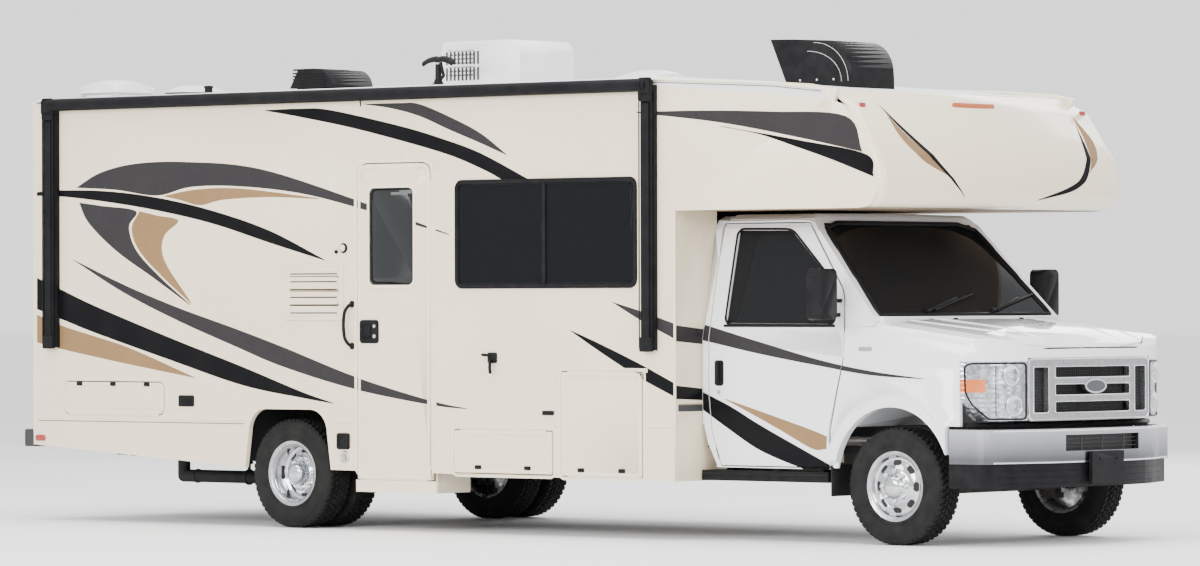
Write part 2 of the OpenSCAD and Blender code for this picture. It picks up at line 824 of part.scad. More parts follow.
module rims_rear_right() {
    mirror([0, 1, 0]) rims_rear();
}

// ------------------------------------------------------------------ cab

// Half section of the cab's skin in Y and Z, pulled in by t
function cab_section(t) = [[0, 300], [cab_half_w - 24 - t, 300], [cab_half_w - 20 - t, 480],
    [cab_half_w - 4 - t, 700], [cab_half_w - t, 1000], [cab_half_w - 2 - t, 1300],
    [cab_half_w - 22 - t, 1400], [cab_half_w - 140 - t, 2010 - t / 3],
    [cab_half_w - 175 - t, 2070 - t / 2], [cab_half_w - 240 - t, cab_roof_z - 8 - t],
    [0, cab_roof_z - t]];

// A half outline that starts and ends on the middle line, with its mirror image added
function both_halves(pts) = concat(pts,
    [for (i = [len(pts) - 2:-1:1]) [-pts[i][0], pts[i][1]]]);

module cab_volume(t, x0, x1) {
    along_x(x0, x1) polygon(both_halves(cab_section(t)));
}

// Cab door seen from the side
door_front_x = 2959;
door_rear_x = 1856;
cab_door_pts = [[1944, 484], [2836, 484], [2838, 721], [2900, 960], [door_front_x, 1179],
    [door_front_x, 1340], [2952, 1420], [2922, 1597], [2572, 2040], [1880, 2040], [1858, 1720],
    [door_rear_x, 1361], [door_rear_x, 960], [1880, 700]];
module cab_door_outline() {
    polygon(cab_door_pts);
}

module cab_door_outline_grown() {
    offset(delta = gap) cab_door_outline();
}

cab_window_pts = [[1979, 1399], [2869, 1394], [2862, 1530], [2839, 1641], [2437, 1993],
    [1998, 1998]];
ws_low = [3185, 1442];   // windshield's foot and head, in X and Z
ws_high = [2600, 2060];
pillar_foot = 1380;      // where the windshield's pillars start on the fenders

module cab_body() {
    rear_edge = [[1910, 477], [1840, 620], [1803, 772], [1802, 1360], [1850, 1800], [1905, 2120]];
    color("white") {
        difference() {
            intersection() {
                cab_volume(0, 1790, 3300);
                along_y(-far, far) polygon(concat([[1910, 470]], rear_edge,
                    [[2560, 2120], ws_high, ws_low, [ws_low[0], pillar_foot + eps],
                        [2925, pillar_foot + eps], [2925, 1200], [2830, 700], [2830, 470]]));
            }
            cab_volume(cab_t, 1700, 3400);
            box([1700, -cab_half_w + cab_t + 40, 0], [3400, cab_half_w - cab_t - 40, 1340]);
            along_y(-far, far) cab_door_outline_grown();
        }
        // rear ring against the house
        difference() {
            intersection() {
                cab_volume(10, house_front_x + eps, 1848);
                box([1700, -far, rail_top + eps], [1900, far, far]);
            }
            box([1700, -cab_open_y, 0], [1900, cab_open_y, 1900]);
        }
        // sill inside each door's foot
        both_sides() {
            box([1850, 890, 470], [2830, 927, 476]);
            box([1850, 890, 470], [2830, 922, rail_top + 34]);
        }
    }
    color("dimgray") {
        along_y(-cab_half_w + cab_t + 35, cab_half_w - cab_t - 35) polygon([
            [house_front_x + eps, rail_top + eps], [2962, rail_top + eps], [3160, 948],
            [3160, 1390], [3130, 1390], [3130, 960], [2950, rail_top + 34],
            [house_front_x + eps, rail_top + 34]]);
        box([3060, -930 + eps, 1386], [cowl_x - eps, 930 - eps, ws_low[1] - eps]);
        // boxes under the seats
        both_sides() box([2004, 220, rail_top + 30], [2600, 680, seat_z - eps]);
    }
}

module cab_door() {
    color("white") {
        difference() {
            intersection() {
                difference() {
                    cab_volume(0, 1790, 3300);
                    cab_volume(cab_t - 4, 1700, 3400);
                }
                along_y(0, far) cab_door_outline();
            }
            along_y(-far, far) polygon(cab_window_pts);
        }
        // hinge barrel in the gap ahead of the door
        translate([door_front_x + gap / 2 + 0.1, cab_half_w, 1185])
            cylinder(r = gap / 2 - 0.3, h = 130);
        box([door_front_x - 12, cab_half_w - 5, 1185], [door_front_x + gap / 2, cab_half_w + 1, 1315]);
    }
}

module cab_door_left() {
    cab_door();
}

module cab_door_right() {
    mirror([0, 1, 0]) cab_door();
}

module cab_glass() {
    color([0.12, 0.13, 0.13]) intersection() {
        difference() {
            cab_volume(14, 1790, 3300);
            cab_volume(20, 1700, 3400);
        }
        along_y(0, far) offset(delta = -eps) polygon(cab_window_pts);
    }
}

module cab_glass_left() {
    cab_glass();
}

module cab_glass_right() {
    mirror([0, 1, 0]) cab_glass();
}

module windshield() {
    color([0.1, 0.11, 0.11]) intersection() {
        cab_volume(cab_t + eps, 2400, 3300);
        along_y(-far, far) polygon([ws_low + [-2, 0], ws_high + [-2, 0], ws_high + [-10, 0],
            ws_low + [-10, 0]]);
    }
}

nose_fall = 7.1;         // how the fenders' shoulders slope, in degrees
// Front end as one volume, pulled in by t on every side
module nose_volume(t) {
    side = [[984, 300], [1004, 980], [1004, 1240], [998, 1330], [980, 1385], [950, 1425],
        [880, 1448], [500, 1470], [0, 1480]];
    intersection() {
        along_y(-far, far) polygon([[2838, bumper_z - 40 + t], [far, bumper_z - 40 + t],
            [far, 1240 - t], [4128, 1250 - t], [4085, 1296 - t], [3900, 1352 - t],
            [3600, 1402 - t], [3200, 1436 - t], [2838, 1446 - t]]);
        // the shoulders fall towards the lamps
        translate([2965, 0, 1240]) rotate([0, nose_fall, 0]) translate([-2965, 0, -1240])
            along_x(2700, 4500) polygon(both_halves(concat([[0, 300]],
                [for (p = side) [max(0, p[0] - t), p[1] - t * 0.7]])));
        linear_extrude(far) polygon(concat([[2838, -cab_half_w + t], [3880, -cab_half_w + t]],
            [[3935 - t / 2, -985 + t], [4040 - t, -900 + t / 2], [4120 - t, -770]],
            [for (y = [-650:130:650]) [nose_x - t - 43 * y * y / 422500, y]],
            [[4120 - t, 770], [4040 - t, 900 - t / 2], [3935 - t / 2, 985 - t], [3880, cab_half_w - t],
            [2838, cab_half_w - t]]));
    }
}

module hood_outline(grow) {
    polygon([[3245 - grow, -840 - grow], [3900, -800 - grow], [4040, -740 - grow],
        [4110 + grow, -620 - grow], [4150 + grow, 0], [4110 + grow, 620 + grow],
        [4040, 740 + grow], [3900, 800 + grow], [3245 - grow, 840 + grow]]);
}

cowl_x = 3235;           // where the cowl ends and the hood begins
hood_low = 1238;         // front lip's underside
module hood() {
    color("white") {
        intersection() {
            difference() {
                nose_volume(0);
                nose_volume(panel_t);
            }
            translate([0, 0, hood_low]) linear_extrude(400) hood_outline(0);
        }
        // hinge barrels against the cowl
        both_sides() {
            bar_y(cowl_x + 4.5, 1426, 4.5 - eps, 480, 600);
            box([cowl_x + 4, 480, 1420], [3262, 600, 1428]);
        }
    }
}

arch_z = 415;
arch_r = 455;
module front_fenders() {
    lamp_x = 3885;
    color("white") difference() {
        union() {
            difference() {
                nose_volume(0);
                nose_volume(panel_t);
            }
            // flare round each arch
            both_sides() intersection() {
                bar_y(front_axle_x, arch_z, arch_r + 82, cab_half_w - panel_t, cab_half_w + 16);
                box([2800, 0, bumper_z], [3830, far, far]);
            }
            // shelf on top of the radiator's carrier
            box([radiator_x, -640, 1150 + eps], [4060, 640, 1200]);
            box([radiator_x, -640, 1184], [4140, 640, 1226]);
        }
        translate([0, 0, hood_low - gap]) linear_extrude(400) hood_outline(gap);
        // wheel arches
        bar_y(front_axle_x, arch_z, arch_r, -far, far);
        box([2700, -970, 0], [3780, 970, 520]);
        // room for the doors, grille, lamps and bumper
        along_y(-far, far) polygon([[2700, 300], [2845, 300], [2845, 721], [2907, 960],
            [door_front_x + gap, 1179], [door_front_x + gap, 1500], [2700, 1500]]);
        box([lamp_x - eps, -650 - eps, 0], [far, 650 + eps, 1150]);
        box([4061, -650 - eps, 0], [far, 650 + eps, 1182 + eps]);
        both_sides() box([lamp_x - eps, 650, 0], [far, far, 1160 + eps]);
        box([3780, -far, 0], [far, far, bumper_z + bumper_h + 20]);
        // cowl and the feet of the windshield's pillars
        box([2800, -930, 1300], [cowl_x + 3.5, 930, far]);
        box([2800, -far, pillar_foot], [ws_low[0] + 6, far, far]);
    }
}

module grille() {
    back = radiator_x + 45 + eps;
    color("silver") {
        difference() {
            intersection() {
                linear_extrude(far) difference() {
                    polygon(concat([for (y = [-650:130:650]) [nose_x - 43 * y * y / 422500, y]],
                        [[4050, 650], [4050, -650]]));
                    polygon(concat([for (y = [-650:130:650]) [nose_x - 40 - 43 * y * y / 422500, y]],
                        [[4000, 650], [4000, -650]]));
                }
                along_x(3900, far) polygon(round_rect(-650, 785, 650, 1182, 30));
            }
            for (i = [0:2])
                box([3900, -400, 835 + 110 * i], [far, 400, 905 + 110 * i]);
            for (s = [-1, 1])
                box([3900, s * 530 - 70, 835], [far, s * 530 + 70, 1125]);
        }
        // stays back to the radiator's carrier
        both_sides() {
            box([back, 420, 795], [4140, 450, 825]);
            box([back, 420, 1115], [4140, 450, 1145]);
        }
    }
}

module headlamps() {
    y = 650 + eps;
    color([0.85, 0.87, 0.88]) both_sides() intersection() {
        linear_extrude(far) polygon([[4151, y], [4112, 775], [4034, 902], [3930, 985],
            [3885, 998], [3885, 930], [3960, 860], [4020, 780], [4060, y]]);
        along_x(3800, far) polygon([[y, 790], [900, 790], [1000, 940], [1000, 1160], [y, 1160]]);
    }
}

// Bumper's outline seen from above, pulled in by t
module bumper_plan(t) {
    polygon(concat([[3800, -1000 + t], [3960 - t / 2, -995 + t]], arc(4010 - t, -905, 88 - t / 2, -90, -35, 5),
        [for (y = [-780:130:780]) [bumper_x - t - 160 * pow(abs(y) / 830, 3), y]],
        arc(4010 - t, 905, 88 - t / 2, 35, 90, 5), [[3960 - t / 2, 995 - t], [3800, 1000 - t]]));
}

module front_bumper() {
    color("silver") difference() {
        translate([0, 0, bumper_z]) linear_extrude(bumper_h) difference() {
            bumper_plan(0);
            translate([-20, 0]) bumper_plan(20);
        }
        box([4000, -391, 596], [far, 391, 697]);
    }
    color([0.1, 0.1, 0.1]) both_sides() box([radiator_x + 45 + eps, rail_in_y, rail_z + 30],
        [bumper_x - 36, rail_in_y + rail_w, rail_top - 30]);
}

plate_x = bumper_x + 28; // front face of the licence plate's bracket
plate_z = 540;           // height of its two screws
plate_hole_y = 89;
module front_valance() {
    color([0.06, 0.06, 0.06]) {
        translate([0, 0, 368]) linear_extrude(bumper_z - 368 - eps) difference() {
            translate([-10, 0]) bumper_plan(10);
            translate([-36, 0]) bumper_plan(32);
        }
        box([bumper_x - 24, -120, 400], [bumper_x + 6, 120, 500]);
        difference() {
            box([bumper_x + eps, -170, 385], [plate_x, 170, 590]);
            both_sides() bar_x(plate_hole_y, plate_z, 3.5, 4200, 4400);
        }
    }
}

module running_boards() {
    hang_y = rail_in_y + rail_w + eps;
    color([0.12, 0.12, 0.12]) both_sides() {
        box([1800, 830, 385], [2840, 1010, 452]);
        for (x = [1900, 2700]) {
            box([x, hang_y, 440], [x + 60, 880, 466]);
            box([x, hang_y, 440], [x + 60, hang_y + 40, rail_z + 40]);
        }
    }
}

mirror_x = 2930;
function skin_y(z) = cab_half_w - 22 - (z - 1400) * 118 / 610;

module mirror_arm() {
    color([0.07, 0.07, 0.07]) {
        along_x(mirror_x - 60, mirror_x + 60)
            polygon(round_rect(1100, 1420, 1262, 1745, 40));
        for (z = [1440, 1530])
            along_x(2885, 2915) polygon([[skin_y(z) + eps, z], [1130, z], [1130, z + 24],
                [skin_y(z + 24) + eps, z + 24]]);
    }
}

module mirror_left() {
    mirror_arm();
}

module mirror_right() {
    mirror([0, 1, 0]) mirror_arm();
}

seat_z = 1000;           // underside of the seat cushions
wheel_c = [2640, 400, 1340];
column_tilt = 30;        // steering column's angle from level
module dashboard() {
    color([0.25, 0.25, 0.26]) {
        along_y(-830, 830) polygon([[3130 - eps, 1000], [3130 - eps, 1382], [3056, 1385], [3000, 1400],
            [2830, 1365], [2800, 1200], [2870, 1080], [2960, 1000]]);
        translate(wheel_c) rotate([0, 90 + column_tilt, 0]) translate([0, 0, 25 + eps])
            cylinder(r = 28, h = 230);
    }
}

module steering_wheel() {
    color([0.1, 0.1, 0.1]) translate(wheel_c) rotate([0, column_tilt, 0]) {
        rotate([0, 90, 0]) rotate_extrude() translate([190, 0]) circle(r = 16, $fn = 24);
        rotate([0, 90, 0]) cylinder(r = 60, h = 50, center = true);
        for (a = [-90, 30, 150]) rotate([a, 0, 0]) translate([-9, -18, 40]) cube([18, 36, 142]);
    }
}

module seat_pads() {
    color([0.45, 0.4, 0.34]) both_sides() {
        box([2120, 200, seat_z], [2620, 700, seat_z + 130]);
        along_y(200, 700) polygon([[2000, seat_z], [2119.5, seat_z], [2064, 1760], [1944, 1760]]);
    }
}

chassis_frame();
front_axle();
rear_axle();
knuckle_left();
knuckle_right();
engine_block();
exhaust();
under_tanks();
tyre_front_left();
rim_front_left();
tyre_front_right();
rim_front_right();
tyres_rear_left();
rims_rear_left();
tyres_rear_right();
rims_rear_right();
house_floor();
house_wall_right();
house_wall_left();
house_wall_rear();
house_wall_front();
house_roof();
nose_cap();
wheel_wells();
step_well();
entry_door();
entry_door_glass();
bag_door_right_rear();
bag_door_right_mid();
bag_door_right_front();
bag_door_left();
house_window_frames();
house_window_glass();
fridge_vent();
awning();
rear_bumper();
hitch_receiver();
tail_lamps();
roof_ac();
roof_vents();
bed_vent_cover();
cab_body();
hood();
front_fenders();
cab_door_left();
cab_door_right();
cab_glass_left();
cab_glass_right();
windshield();
grille();
headlamps();
front_bumper();
front_valance();
running_boards();
mirror_left();
mirror_right();
dashboard();
steering_wheel();
seat_pads();
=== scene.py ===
import json
import math

import bmesh
import bpy
from mathutils import Matrix, Vector
from mathutils.bvhtree import BVHTree


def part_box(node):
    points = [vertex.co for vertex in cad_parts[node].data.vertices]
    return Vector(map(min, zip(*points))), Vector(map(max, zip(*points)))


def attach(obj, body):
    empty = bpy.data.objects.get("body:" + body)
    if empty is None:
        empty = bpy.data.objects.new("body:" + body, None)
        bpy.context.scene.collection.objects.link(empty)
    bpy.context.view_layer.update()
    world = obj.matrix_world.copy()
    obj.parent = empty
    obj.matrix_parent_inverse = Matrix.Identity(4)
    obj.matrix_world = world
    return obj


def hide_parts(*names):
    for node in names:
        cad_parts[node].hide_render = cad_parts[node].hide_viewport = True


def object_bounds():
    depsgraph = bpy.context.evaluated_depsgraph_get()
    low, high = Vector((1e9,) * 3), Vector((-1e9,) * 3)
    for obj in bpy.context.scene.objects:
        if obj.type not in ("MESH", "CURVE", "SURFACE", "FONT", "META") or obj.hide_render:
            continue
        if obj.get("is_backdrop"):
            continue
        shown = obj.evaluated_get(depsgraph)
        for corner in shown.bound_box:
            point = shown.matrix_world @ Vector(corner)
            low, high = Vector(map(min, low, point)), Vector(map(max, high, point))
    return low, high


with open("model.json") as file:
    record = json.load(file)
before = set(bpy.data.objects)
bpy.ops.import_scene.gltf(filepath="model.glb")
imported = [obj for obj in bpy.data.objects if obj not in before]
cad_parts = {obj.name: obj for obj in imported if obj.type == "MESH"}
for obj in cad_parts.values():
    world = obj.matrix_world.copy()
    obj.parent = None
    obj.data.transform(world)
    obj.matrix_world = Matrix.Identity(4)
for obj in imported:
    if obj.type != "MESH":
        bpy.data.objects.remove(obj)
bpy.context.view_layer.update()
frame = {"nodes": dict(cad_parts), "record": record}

nodes = frame["nodes"]
body_of_node = {node: name for name, group in frame["record"]["behaviour"]["bodies"].items()
        for node in group}


# ---- Studio: camera, light and floor ----
# The vehicle stands on a pale matt floor under a large soft overhead panel, with a softer one
# on each side. The camera looks at the entry side and the front from a long way off.

camera_spot = Vector((25.434, -29.301, 1.561))
camera_turn = (0.6982, 0.0046, -0.0026)
camera = bpy.data.objects.new("camera", bpy.data.cameras.new("camera"))
camera.data.sensor_width = 36
camera.data.lens = 171.1
camera.data.shift_x = -0.0740
camera.data.shift_y = -0.0093
camera.data.clip_end = 400
camera.matrix_world = (Matrix.Translation(camera_spot) @ Matrix.Rotation(camera_turn[0], 4, "Z")
        @ Matrix.Rotation(math.pi / 2 + camera_turn[1], 4, "X") @ Matrix.Rotation(camera_turn[2], 4, "Z"))
bpy.context.scene.collection.objects.link(camera)
bpy.context.scene.camera = camera


def soft_panel(name, spot, aim, size, watts):
    lamp = bpy.data.lights.new(name, "AREA")
    lamp.shape = "RECTANGLE"
    lamp.size, lamp.size_y = size
    lamp.energy = watts
    panel = bpy.data.objects.new(name, lamp)
    panel.location = spot
    panel.rotation_mode = "QUATERNION"
    panel.rotation_quaternion = (Vector(aim) - Vector(spot)).to_track_quat("-Z", "Y")
    bpy.context.scene.collection.objects.link(panel)


soft_panel("overhead_panel", (1, -2, 13), (0, 0, 1), (16, 10), 2500)
soft_panel("entry_side_panel", (3, -17, 7), (0, 0, 1.4), (14, 6), 3100)
soft_panel("front_panel", (17, -5, 6), (2, 0, 1.2), (8, 6), 900)
soft_panel("far_side_panel", (-4, 16, 8), (0, 0, 1.5), (14, 6), 1300)

world = bpy.data.worlds.new("studio")
world.use_nodes = True
world.node_tree.nodes["Background"].inputs["Color"].default_value = (0.97, 0.98, 1.0, 1)
world.node_tree.nodes["Background"].inputs["Strength"].default_value = 1.65
bpy.context.scene.world = world


class Wire:
    """One socket of a finish. Arithmetic on it adds the Math nodes."""

    def __init__(self, finish, socket):
        self.finish = finish
        self.socket = socket

    def math(self, operation, one, two=0.0):
        return self.finish.node("ShaderNodeMath", {"operation": operation}, {0: one, 1: two})

    def __add__(self, other):
        return self.math("ADD", self, other)

    def __sub__(self, other):
        return self.math("SUBTRACT", self, other)

    def __rsub__(self, other):
        return self.math("SUBTRACT", other, self)

    def __mul__(self, other):
        return self.math("MULTIPLY", self, other)

    def __truediv__(self, other):
        return self.math("DIVIDE", self, other)

    def __lt__(self, other):
        return self.math("LESS_THAN", self, other)

    def __gt__(self, other):
        return self.math("GREATER_THAN", self, other)

    __radd__ = __add__
    __rmul__ = __mul__


class Finish:
    """A material built on the Principled shader, with every pattern on Object coordinates."""

    def __init__(self, name, colour, rough, **fixed):
        self.material = bpy.data.materials.new(name)
        self.material.use_nodes = True
        self.tree = self.material.node_tree
        self.shader = self.tree.nodes["Principled BSDF"]
        self.set(**{"Base Color": (*colour, 1), "Roughness": rough})
        self.set(**{key.replace("_", " "): value for key, value in fixed.items()})

    def set(self, **sockets):
        for key, value in sockets.items():
            socket = self.shader.inputs[key]
            if isinstance(value, Wire):
                self.tree.links.new(value.socket, socket)
            else:
                socket.default_value = value
        return self

    def node(self, kind, settings, sockets, out=0):
        node = self.tree.nodes.new(kind)
        for key, value in settings.items():
            setattr(node, key, value)
        for key, value in sockets.items():
            if isinstance(value, Wire):
                self.tree.links.new(value.socket, node.inputs[key])
            else:
                node.inputs[key].default_value = value
        return Wire(self, node.outputs[out])

    def place(self, stretch=(1, 1, 1)):
        spot = self.node("ShaderNodeTexCoord", {}, {}, "Object")
        return self.node("ShaderNodeMapping", {}, {"Vector": spot, "Scale": stretch})

    def grain(self, scale, detail=3.0, stretch=(1, 1, 1)):
        return self.node("ShaderNodeTexNoise", {}, {"Vector": self.place(stretch), "Scale": scale,
                "Detail": detail})

    def along(self, axis):
        split = self.tree.nodes.new("ShaderNodeSeparateXYZ")
        self.tree.links.new(self.place().socket, split.inputs[0])
        return Wire(self, split.outputs["XYZ".index(axis)])

    def blend(self, share, one, two):
        settings = {"data_type": "RGBA", "clamp_factor": True}
        paint = [value if isinstance(value, Wire) else (*value, 1) for value in (one, two)]
        return self.node("ShaderNodeMix", settings, {0: share, 6: paint[0], 7: paint[1]}, 2)

    def between(self, wire, low, high, to_low=0.0, to_high=1.0):
        sockets = {0: wire, 1: low, 2: high, 3: to_low, 4: to_high}
        return self.node("ShaderNodeMapRange", {"clamp": True}, sockets)

    def relief(self, height, strength, depth=0.001):
        bump = self.node("ShaderNodeBump", {}, {"Height": height, "Strength": strength, "Distance": depth})
        return self.set(Normal=bump)

    def varied(self, colour, other, scale, rough, spread, detail=4.0):
        """Two shades that drift into each other, with the roughness following."""
        share = self.between(self.grain(scale, detail), 0.35, 0.65)
        self.set(**{"Base Color": self.blend(share, colour, other)})
        return self.set(Roughness=share * spread + rough)


floor_finish = Finish("studio_floor", (0.86, 0.86, 0.86), 0.75)
floor_finish.set(**{"Base Color": floor_finish.blend(floor_finish.grain(0.4), (0.88, 0.88, 0.88),
        (0.84, 0.84, 0.84))})
floor_mesh = bpy.data.meshes.new("floor")
floor_mesh.from_pydata([(-160, -160, 0), (160, -160, 0), (160, 160, 0), (-160, 160, 0)], [], [(0, 1, 2, 3)])
floor_mesh.materials.append(floor_finish.material)
floor = bpy.data.objects.new("floor", floor_mesh)
bpy.context.scene.collection.objects.link(floor)
floor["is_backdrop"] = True


# ---- Chassis: frame rails, axles, springs ----
# Channel rails and crossmembers of pressed steel, riveted together and dipped in black paint.
# The axles and knuckles are rough castings that carry a film of road dust.


def carried(name, mesh, body):
    """The finished mesh as an object that rides on a body."""
    piece = bpy.data.objects.new(name, mesh)
    bpy.context.scene.collection.objects.link(piece)
    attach(piece, body)
    return piece


def skin(node, finish, angle=32):
    """A merged copy of a CAD node stands in its place, with its round stretches shaded smooth."""
    form = bmesh.new()
    form.from_mesh(nodes[node].data)
    bmesh.ops.remove_doubles(form, verts=form.verts, dist=1e-5)
    mesh = bpy.data.meshes.new(node + "_skin")
    form.to_mesh(mesh)
    form.free()
    mesh.shade_smooth()
    mesh.set_sharp_from_angle(angle=math.radians(angle))
    mesh.materials.append(finish.material)
    piece = carried(node + "_skin", mesh, body_of_node[node])
    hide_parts(node)
    return piece


chassis_paint = Finish("chassis_paint", (0.02, 0.02, 0.021), 0.4)
chassis_paint.varied((0.014, 0.014, 0.015), (0.034, 0.032, 0.03), 3.0, 0.32, 0.28)
chassis_paint.relief(chassis_paint.grain(260), 0.25)
for node in ("chassis_frame", "rear_bumper", "hitch_receiver"):
    skin(node, chassis_paint)

cast_iron = Finish("cast_iron", (0.05, 0.048, 0.045), 0.7, Metallic=0.6)
cast_iron.varied((0.035, 0.033, 0.032), (0.085, 0.075, 0.062), 9.0, 0.55, 0.25)
cast_iron.relief(cast_iron.grain(160, 6), 0.5)
for node in ("front_axle", "rear_axle", "knuckle_left", "knuckle_right"):
    skin(node, cast_iron)


class Bench:
    """The shapes of one piece are made here, then set on the body that carries it."""

    axes = {"x": lambda u, v, d: (d, u, v), "y": lambda u, v, d: (u, d, v), "z": lambda u, v, d: (u, v, d)}

    def __init__(self):
        self.form = bmesh.new()

    def loops(self, rings, closed=False, caps=True):
        """Skins a run of rings of points. A ring of one point is a pole."""
        made = [[self.form.verts.new(point) for point in ring] for ring in rings]
        steps = max(len(ring) for ring in made)
        pairs = list(zip(made, made[1:] + (made[:1] if closed else [])))
        for one, two in pairs:
            for i in range(steps):
                corners = [one[i % len(one)], one[(i + 1) % len(one)], two[(i + 1) % len(two)],
                        two[i % len(two)]]
                corners = list(dict.fromkeys(corners))
                if len(corners) > 2:
                    self.form.faces.new(corners)
        if caps and not closed:
            for ring in (made[0], made[-1]):
                if len(ring) > 2:
                    self.form.faces.new(ring)
        return self

    def plate(self, outline, axis, low, high):
        """A flat sheet cut to an outline, square to an axis, from one depth to another."""
        return self.loops([[self.axes[axis](u, v, depth) for u, v in outline] for depth in (low, high)])

    def block(self, low, high):
        corners = [(low[0], low[1]), (high[0], low[1]), (high[0], high[1]), (low[0], high[1])]
        return self.plate(corners, "z", low[2], high[2])

    def band(self, outer, inner, axis, low, high):
        """A flat ring between two outlines with the same number of points."""
        spot = self.axes[axis]
        rings = [(outer, low), (outer, high), (inner, high), (inner, low)]
        return self.loops([[spot(u, v, d) for u, v in ring] for ring, d in rings], closed=True)

    def lathe(self, profile, centre, axis=(0, 0, 1), steps=40, closed=False):
        """A turned shape from (radius, height) points about an axis."""
        swing = Vector((0, 0, 1)).rotation_difference(Vector(axis))
        rings = []
        for radius, height in profile:
            count = steps if radius > 1e-6 else 1
            angles = [2 * math.pi * i / steps for i in range(count)]
            rings.append([Vector(centre) + swing @ Vector((radius * math.cos(a), radius * math.sin(a),
                    height)) for a in angles])
        return self.loops(rings, closed=closed)

    def rod(self, path, radius, sides=10, closed=False, flat=1.0):
        """A bar bent along a path, round or flattened."""
        path = [Vector(point) for point in path]
        side = None
        rings = []
        for i, point in enumerate(path):
            ahead = path[(i + 1) % len(path)] if closed or i + 1 < len(path) else point
            behind = path[i - 1] if closed or i else point
            along = (ahead - behind).normalized()
            side = along.orthogonal() if side is None else side
            side = (side - along * side.dot(along)).normalized()
            up = along.cross(side)
            angles = [2 * math.pi * k / sides for k in range(sides)]
            rings.append([point + radius * (math.cos(a) * side + flat * math.sin(a) * up) for a in angles])
        return self.loops(rings, closed=closed)

    def add(self, mesh, move=(0, 0, 0)):
        mesh.transform(Matrix.Translation(move))
        self.form.from_mesh(mesh)
        bpy.data.meshes.remove(mesh)
        return self

    def mesh(self, name):
        bmesh.ops.remove_doubles(self.form, verts=self.form.verts, dist=1e-6)
        bmesh.ops.recalc_face_normals(self.form, faces=self.form.faces)
        mesh = bpy.data.meshes.new(name)
        self.form.to_mesh(mesh)
        self.form.free()
        return mesh

    def done(self, name, finish, body="motorhome", slot="black_plastic", bevel=0.0, angle=35):
        """The bench's work as one finished object. Most fittings ride on the motorhome; the slot is not used.
        """
        mesh = self.mesh(name)
        mesh.shade_smooth()
        mesh.set_sharp_from_angle(angle=math.radians(angle))
        mesh.materials.clear()
        mesh.materials.append(finish.material)
        piece = carried(name, mesh, body)
        if bevel:
            edge = piece.modifiers.new("edge", "BEVEL")
            edge.width = bevel
            edge.segments = 2
            edge.limit_method = "ANGLE"
            edge.angle_limit = math.radians(40)
            edge.harden_normals = False
        return piece


def repeating_tree():
    """Geometry Nodes: copies of a unit, each moved by Step and turned by Turn from the last."""
    tree = bpy.data.node_groups.new("repeating", "GeometryNodeTree")
    tree.interface.new_socket("Geometry", in_out="OUTPUT", socket_type="NodeSocketGeometry")
    for name, kind in (("Unit", "Object"), ("Count", "Int"), ("Start", "Vector"), ("Step", "Vector"),
            ("Turn", "Vector"), ("Finish", "Material")):
        tree.interface.new_socket(name, in_out="INPUT", socket_type="NodeSocket" + kind)
    given = tree.nodes.new("NodeGroupInput")
    result = tree.nodes.new("NodeGroupOutput")

    def node(kind, links, **settings):
        made = tree.nodes.new(kind)
        for key, value in settings.items():
            setattr(made, key, value)
        for key, socket in links.items():
            tree.links.new(socket, made.inputs[key])
        return made

    line = node("GeometryNodeMeshLine", {"Count": given.outputs["Count"],
            "Start Location": given.outputs["Start"], "Offset": given.outputs["Step"]}, mode="OFFSET")
    index = node("GeometryNodeInputIndex", {})
    turned = node("ShaderNodeVectorMath", {0: given.outputs["Turn"], "Scale": index.outputs[0]},
            operation="SCALE")
    rotation = node("FunctionNodeEulerToRotation", {0: turned.outputs[0]})
    unit = node("GeometryNodeObjectInfo", {"Object": given.outputs["Unit"]})
    copies = node("GeometryNodeInstanceOnPoints", {"Points": line.outputs[0],
            "Instance": unit.outputs["Geometry"], "Rotation": rotation.outputs[0]})
    real = node("GeometryNodeRealizeInstances", {0: copies.outputs[0]})
    painted = node("GeometryNodeSetMaterial", {"Geometry": real.outputs[0],
            "Material": given.outputs["Finish"]})
    tree.links.new(painted.outputs[0], result.inputs[0])
    return tree


repeating = repeating_tree()
repeating_inputs = {item.name: item.identifier for item in repeating.interface.items_tree
        if item.in_out == "INPUT"}


def row_of(unit, count, finish, start=(0, 0, 0), step=(0, 0, 0), turn=(0, 0, 0)):
    """The mesh of a row or ring of copies of one Bench unit, made with the repeating tree."""
    master = bpy.data.objects.new("unit", unit.mesh("unit"))
    holder = bpy.data.objects.new("row", bpy.data.meshes.new("row"))
    for made in (master, holder):
        bpy.context.scene.collection.objects.link(made)
    modifier = holder.modifiers.new("repeating", "NODES")
    modifier.node_group = repeating
    values = {"Unit": master, "Count": count, "Start": start, "Step": step, "Turn": turn,
            "Finish": finish.material}
    for name, value in values.items():
        modifier[repeating_inputs[name]] = value
    bpy.context.view_layer.update()
    mesh = bpy.data.meshes.new_from_object(holder.evaluated_get(bpy.context.evaluated_depsgraph_get()))
    bpy.data.objects.remove(holder)
    bpy.data.objects.remove(master)
    return mesh


def rivet(radius, height, axis, sides=8):
    profile = [(radius, 0), (radius, height * 0.4), (radius * 0.7, height * 0.85), (0, height)]
    return Bench().lathe([(0, 0)] + profile, (0, 0, 0), axis, sides)


bolts = Bench()
rail_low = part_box("chassis_frame")[0]
for side in (-1, 1):
    for height in (0.56, 0.64):
        bolts.add(row_of(rivet(0.011, 0.008, (0, side, 0)), 24, chassis_paint,
                (rail_low.x + 0.5, side * 0.43, height), (0.3, 0, 0)))
bolts.done("frame_rivets", chassis_paint, "motorhome", "frame_black")


# ---- Under the floor: engine, exhaust and tanks ----
# An engine block of grey iron, an exhaust of aluminised tube with its clamps, and blow-moulded
# black tanks with the drain pipe that runs along the right side.

